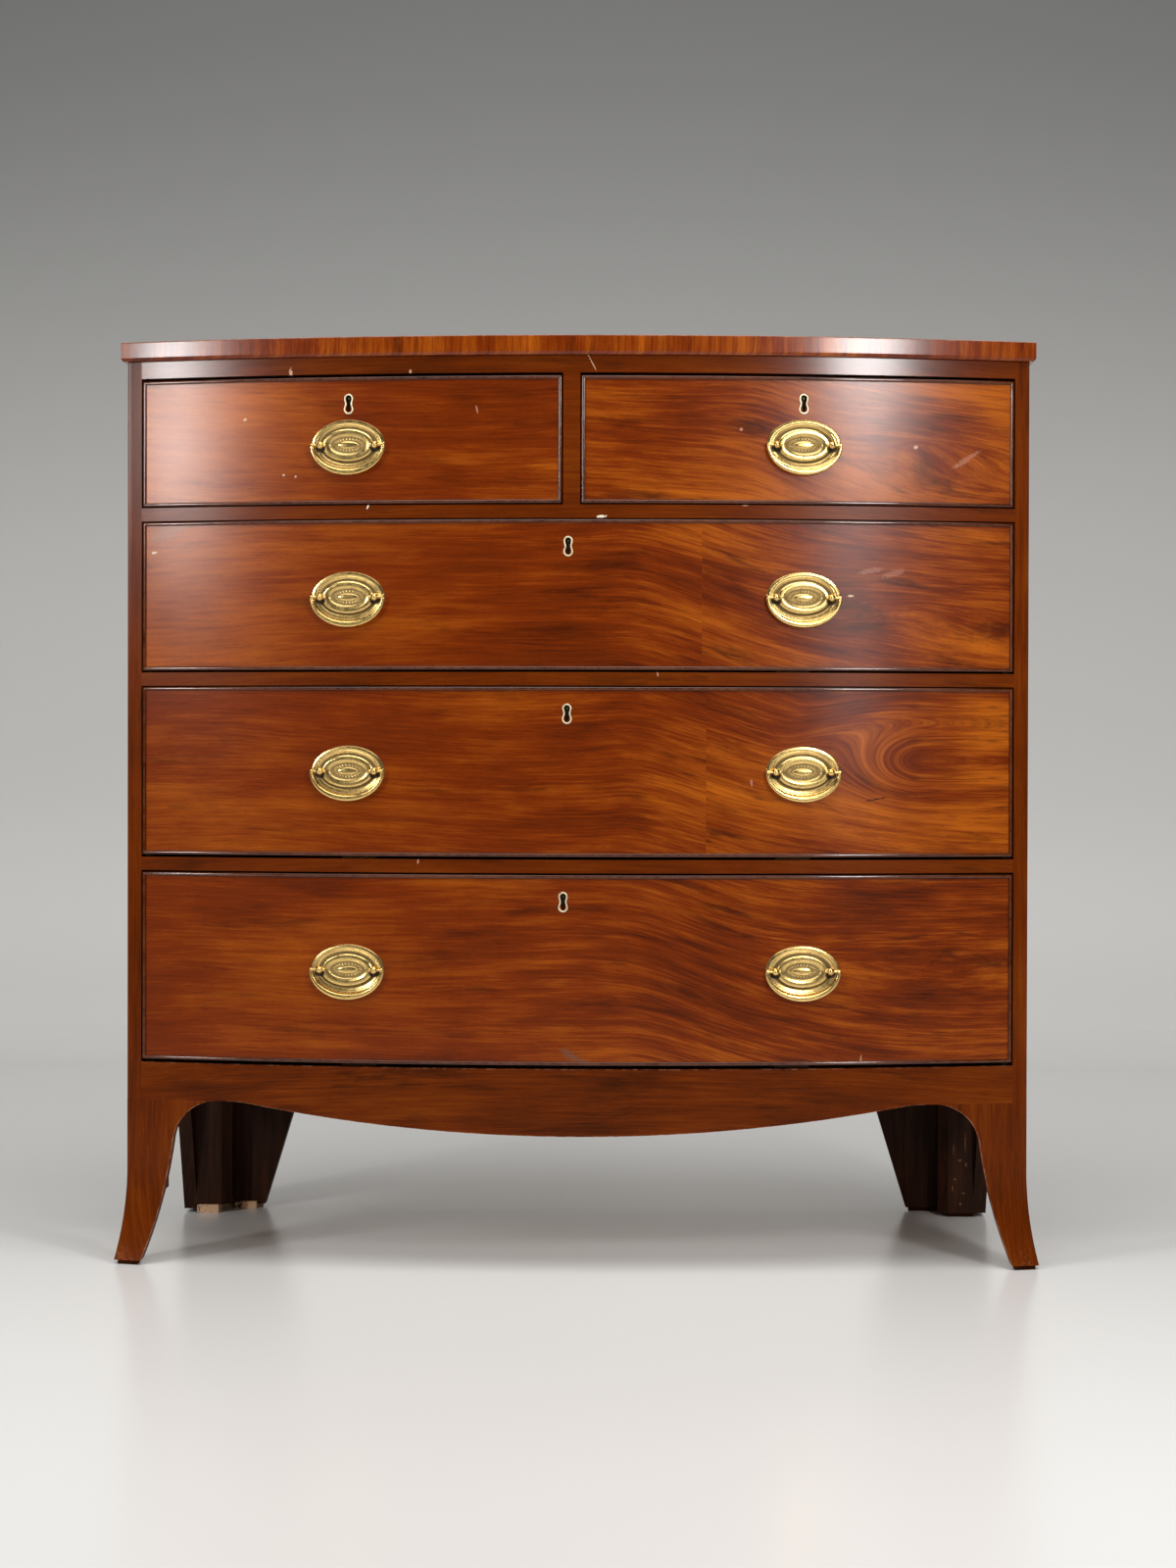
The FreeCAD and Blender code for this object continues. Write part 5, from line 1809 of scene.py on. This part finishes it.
@dataclass
class Chest:
    """The whole object: dresses the frame's nodes and adds the smooth pieces."""

    plan: Plan
    finishes: dict[str, bpy.types.Material]

    BARE = {"back_boards": "back_pine", "drawer_front": "front_core"}

    def build(self) -> None:
        """Builds each sub-assembly."""
        self.dress_nodes()
        for label, make in (
            ("carcass", self.carcass),
            ("rails", self.rails),
            ("feet", self.feet),
            ("drawers", self.drawers),
            ("handles", self.handles),
        ):
            make()

    def dress_nodes(self) -> None:
        """Gives each CAD node the finish of its material slot, or the plain wood that its veneer hides."""
        for part in frame["record"]["subparts"]:
            node = frame["nodes"][part["node"]]
            if not node.data.materials:
                node.data.materials.append(None)
            bare = [wood for start, wood in self.BARE.items() if part["node"].startswith(start)]
            finish = self.finishes[(bare or [part["material_slot"]])[0]]
            for number in range(len(node.data.materials)):
                node.data.materials[number] = finish

    def piece(
        self, name: str, shell: Shell, slot: str, body: str, *stands_for: str, finish: str = ""
    ) -> bpy.types.Object:
        """Shows a closed piece and hides the CAD nodes that it stands for.

        Args:
            name: Name of the piece.
            shell: Its surface.
            slot: Material slot of the record that it belongs to.
            body: Body that it moves with.
            stands_for: CAD nodes that it takes the place of.
            finish: Its finish, where that isn't the one named as the slot is.

        Returns:
            The new object.
        """
        piece = show(name, shell.mesh(name), self.finishes[finish or slot], body)
        for node in stands_for:
            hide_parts(node)
        return piece

    def carcass(self) -> None:
        """Top, sides and apron."""
        plan = self.plan
        self.piece("top_with_edge", TopBoard(plan).shell(), "top_veneer", "carcass", "top_board")
        for hand, side in ((-1, "left"), (1, "right")):
            shell = SideBoard(plan, hand).shell()
            self.piece("side_with_stile_" + side, shell, "case_mahogany", "carcass", "side_" + side)
        apron = Apron(plan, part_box("apron")[0].z).shell()
        self.piece("shaped_apron", apron, "case_mahogany", "carcass", "apron", finish="apron")

    def rails(self) -> None:
        """Veneer on the front of the rails and the muntin."""
        plan = self.plan
        for number, (low, high) in enumerate(plan.rails, start=1):
            sheet = FrontSheet(plan.bow, Span(-plan.inner, plan.inner, low, high))
            finish = "frieze_veneer" if high == plan.rails[-1][1] else "rail_veneer"
            sheet.build(f"rail_veneer_{number}", self.finishes[finish], "rail_veneer", "carcass")
        muntin = vertices("top_partition")
        front = muntin[muntin[:, 1] < plan.bow.y(plan.inner)]
        span = Span(front[:, 0].min(), front[:, 0].max(), plan.rails[-2][1], plan.rails[-1][0])
        sheet = FrontSheet(plan.bow, span)
        sheet.build("muntin_veneer", self.finishes["rail_veneer"], "rail_veneer", "carcass")

    def feet(self) -> None:
        """Front feet."""
        for hand, side in ((-1, "left"), (1, "right")):
            foot = FrontFoot(self.plan, hand)
            name = "front_foot_" + side
            foot.ease(self.piece(name, foot.shell(), "foot_mahogany", "carcass", "front_feet"))

    def drawers(self) -> None:
        """Veneer, beads and lock of each drawer."""
        bow = self.plan.bow
        for name in ("lower", "middle", "upper", "top_left", "top_right"):
            body = "drawer_" + name
            span = Span.of("drawer_front_" + name)
            bolt_low, bolt_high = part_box("lock_bolt_" + name)
            lock_x, _ = bow.across((bolt_low.x + bolt_high.x) / 2.0, (bolt_low.y + bolt_high.y) / 2.0)
            lock = Lock(bow, lock_x, span.high)
            beads = CockBeads(bow, span)
            self.piece("beads_" + name, beads.shell(), "bead_mahogany", body, "cock_beads_" + name)
            sheet = FrontSheet(bow, span.inset(beads.width - 0.2 * MM), (lock_x, span.high - lock.drop))
            veneer = sheet.build("veneer_" + name, self.finishes["front_veneer"], "front_veneer", body)
            figure, points = self.figure(name, span), places(veneer.data)
            write(veneer.data, "grain", figure.field(points))
            write(veneer.data, "character", figure.character(points))
            for part, shell, finish in (
                ("case", lock.case(), "lock_metal"),
                ("thread", lock.thread(), "keyhole_thread"),
                ("pin", lock.drill_pin(), "lock_metal"),
            ):
                self.piece(f"lock_{part}_{name}", shell, "lock_metal", body, "lock_" + name, finish=finish)

    @staticmethod
    def figure(name: str, span: Span) -> Figure:
        """Figure of a drawer's veneer: two of the long drawers have a joint where the fan begins.

        Args:
            name: Which drawer it is.
            span: Rectangle of its front.

        Returns:
            The figure.
        """
        low, tall = span.low, span.high - span.low
        return {
            "lower": Figure((0.38, low + 0.60 * tall), (0.20, 0.30 * tall), 4.1, 0.30, fan=0.80),
            "middle": Figure(
                (0.40, low + 0.57 * tall),
                (0.09, 0.26 * tall),
                2.6,
                0.92,
                0.148,
                closing=0.10,
                rings=1.6,
                crest=True,
                painted_glow_right=0.05,
            ),
            "upper": Figure(
                (0.40, low + 0.42 * tall),
                (0.15, 0.30 * tall),
                1.3,
                0.35,
                0.148,
                painted_glow_left=0.10,
                painted_glow_right=0.06,
            ),
            "top_left": Figure((-0.60, low), (0.10, tall), 7.7, 0.0, painted_glow_left=0.20),
            "top_right": Figure(
                (0.40, low + 0.48 * tall), (0.13, 0.36 * tall), 5.9, 0.40, closing=0.3, painted_glow_right=0.12
            ),
        }[name]

    def handles(self) -> None:
        """Plate, posts, nuts and bail of each handle, where the bail's joint is."""
        bow = self.plan.bow
        for joint in frame["joints"]:
            if joint["type"] != "hinge":
                continue
            x, y, z = joint["pos_m"]
            place, pivot = bow.across(x, y)
            handle = Handle(bow, place, z, pivot)
            drawer = joint["parent"]
            label = joint["child"].removeprefix("bail_")
            mounts = "handle_mounts_" + drawer.removeprefix("drawer_")
            self.piece("plate_" + label, handle.plate(), "brass", drawer, mounts)
            self.piece("posts_" + label, handle.posts(), "brass", drawer, mounts)
            self.piece("nuts_" + label, handle.nuts(), "lock_metal", drawer)
            self.piece("bail_ring_" + label, handle.bail(), "brass", joint["child"], joint["child"])


# ---------------------------------------------------------------- room
@dataclass
class Room:
    """Plain pale floor and backdrop, soft lamps and the camera."""

    floor_colour: Colour = (0.77, 0.76, 0.735)
    wall_colour: Colour = (0.185, 0.185, 0.18)
    floor_roughness: float = 0.24
    wall_roughness: float = 0.6
    roughness_fade: tuple[float, float] = (0.0, 0.3)
    wall_fade: tuple[float, float] = (0.1, 2.3)
    wall_y: float = 2.6
    bend: float = 0.5
    reach: float = 9.0
    world_level: float = 0.38
    mirrored_level: float = 0.04
    eye: tuple[float, float, float] = (0.1021, -3.8899, 0.6049)
    yaw: float = math.radians(-1.37)
    pitch: float = math.radians(-0.644)
    roll: float = math.radians(0.139)
    lens: float = 48.43
    sensor_height: float = 24.0

    def build(self) -> None:
        """Makes the floor, the backdrop, the lamps and the camera."""
        self.backdrop()
        self.lamp("lamp_left", (-1.76, -2.1, 1.20), (-0.42, -0.2, 0.90), (0.40, 0.60), 8.0)
        self.lamp("lamp_left_core", (-1.78, -2.0, 1.25), (-0.45, -0.2, 0.95), (0.22, 0.50), 10.0)
        self.lamp("lamp_right", (1.06, -2.12, 1.00), (0.28, -0.2, 0.90), (0.22, 0.90), 4.0)
        self.lamp("lamp_right_core", (1.08, -2.0, 1.34), (0.33, -0.2, 1.00), (0.28, 0.38), 14.0)
        self.lamp("lamp_above", (0.0, -1.4, 3.4), (0.0, 0.0, 0.5), (3.6, 2.6), 88.0)
        self.world()
        self.camera()

    def backdrop(self) -> None:
        """Floor that sweeps up into the wall behind in one surface."""
        turn = np.linspace(0.0, np.pi / 2.0, 17)
        foot_y = self.wall_y - self.bend
        y = np.concatenate([[-self.reach], foot_y + self.bend * np.sin(turn), [self.wall_y]])
        z = np.concatenate([[0.0], self.bend - self.bend * np.cos(turn), [self.reach]])
        x = np.array([-self.reach, self.reach])
        points = stack(x[None, :], y[:, None], z[:, None])
        mesh = Shell().grid(points).mesh("backdrop", closed=False)
        piece = add("backdrop", mesh)
        paint = Paint("backdrop")
        height = paint.place()[2]
        colour = paint.mix(paint.smooth(height, *self.wall_fade), self.floor_colour, self.wall_colour)
        rough = paint.smooth(height, *self.roughness_fade, self.floor_roughness, self.wall_roughness)
        mesh.materials.append(paint.finish(base_color=colour, roughness=rough))

    def lamp(
        self,
        name: str,
        place: Sequence[float],
        target: Sequence[float],
        size: tuple[float, float],
        power: float,
    ) -> None:
        """Adds a soft oval lamp.

        Args:
            name: Name of the lamp.
            place: Where it stands.
            target: The point that it faces.
            size: Its width and height.
            power: Its power in watts.
        """
        light = bpy.data.lights.new(name, "AREA")
        light.shape = "ELLIPSE"
        light.size, light.size_y = size
        light.energy = power
        add(name, light).matrix_world = self.facing(place, np.subtract(target, place), 0.0)

    def world(self) -> None:
        """Even light from all round."""
        world = bpy.data.worlds.new("air")
        world.use_nodes = True
        nodes = Nodes(world.node_tree)
        background = nodes.tree.nodes["Background"].inputs
        mirrored = nodes.node("LightPath", {}, {}, "Is Glossy Ray")
        level = {"Value": mirrored, "To Min": self.world_level, "To Max": self.mirrored_level}
        nodes.put(background["Color"], (1.0, 1.0, 1.0))
        nodes.put(background["Strength"], nodes.node("MapRange", {}, level, "Result"))
        bpy.context.scene.world = world
        bpy.context.scene.view_settings.view_transform = "Standard"

    def camera(self) -> None:
        """Adds the camera that the scene is rendered with."""
        data = bpy.data.cameras.new("camera")
        data.sensor_fit = "VERTICAL"
        data.sensor_height = self.sensor_height
        data.lens = self.lens
        data.clip_end = 4.0 * self.reach
        camera = add("camera", data)
        ahead = (
            math.sin(self.yaw) * math.cos(self.pitch),
            math.cos(self.yaw) * math.cos(self.pitch),
            math.sin(self.pitch),
        )
        camera.matrix_world = self.facing(self.eye, ahead, self.roll)
        bpy.context.scene.camera = camera

    @staticmethod
    def facing(place: Sequence[float], ahead: Sequence[float], roll: float) -> Matrix:
        """Matrix of something that stands at a place and looks ahead.

        Args:
            place: Where it stands.
            ahead: The direction that it looks in.
            roll: Its turn about its own axis, in radians.

        Returns:
            The matrix.
        """
        forward = np.asarray(ahead, float) / np.linalg.norm(ahead)
        level = np.cross(forward, (0.0, 0.0, 1.0))
        level /= np.linalg.norm(level)
        upright = np.cross(level, forward)
        right = math.cos(roll) * level + math.sin(roll) * upright
        up = math.cos(roll) * upright - math.sin(roll) * level
        columns = np.stack([right, up, -forward, np.asarray(place, float)], axis=1)
        return Matrix(np.vstack([columns, (0.0, 0.0, 0.0, 1.0)]).tolist())


def corners(bounds: Iterable) -> list[list[float]]:
    """Lowest and highest corner as plain lists."""
    return [[float(value) for value in corner] for corner in bounds]


def main() -> None:
    """Builds the chest and its room."""
    logging.basicConfig(level=logging.INFO, format="%(name)s: %(message)s")
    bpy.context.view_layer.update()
    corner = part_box("top_board")[1]
    Chest(Plan.read(), Finishes(corner.z, corner.y).build()).build()
    Room().build()


if __name__ == "__main__":
    main()
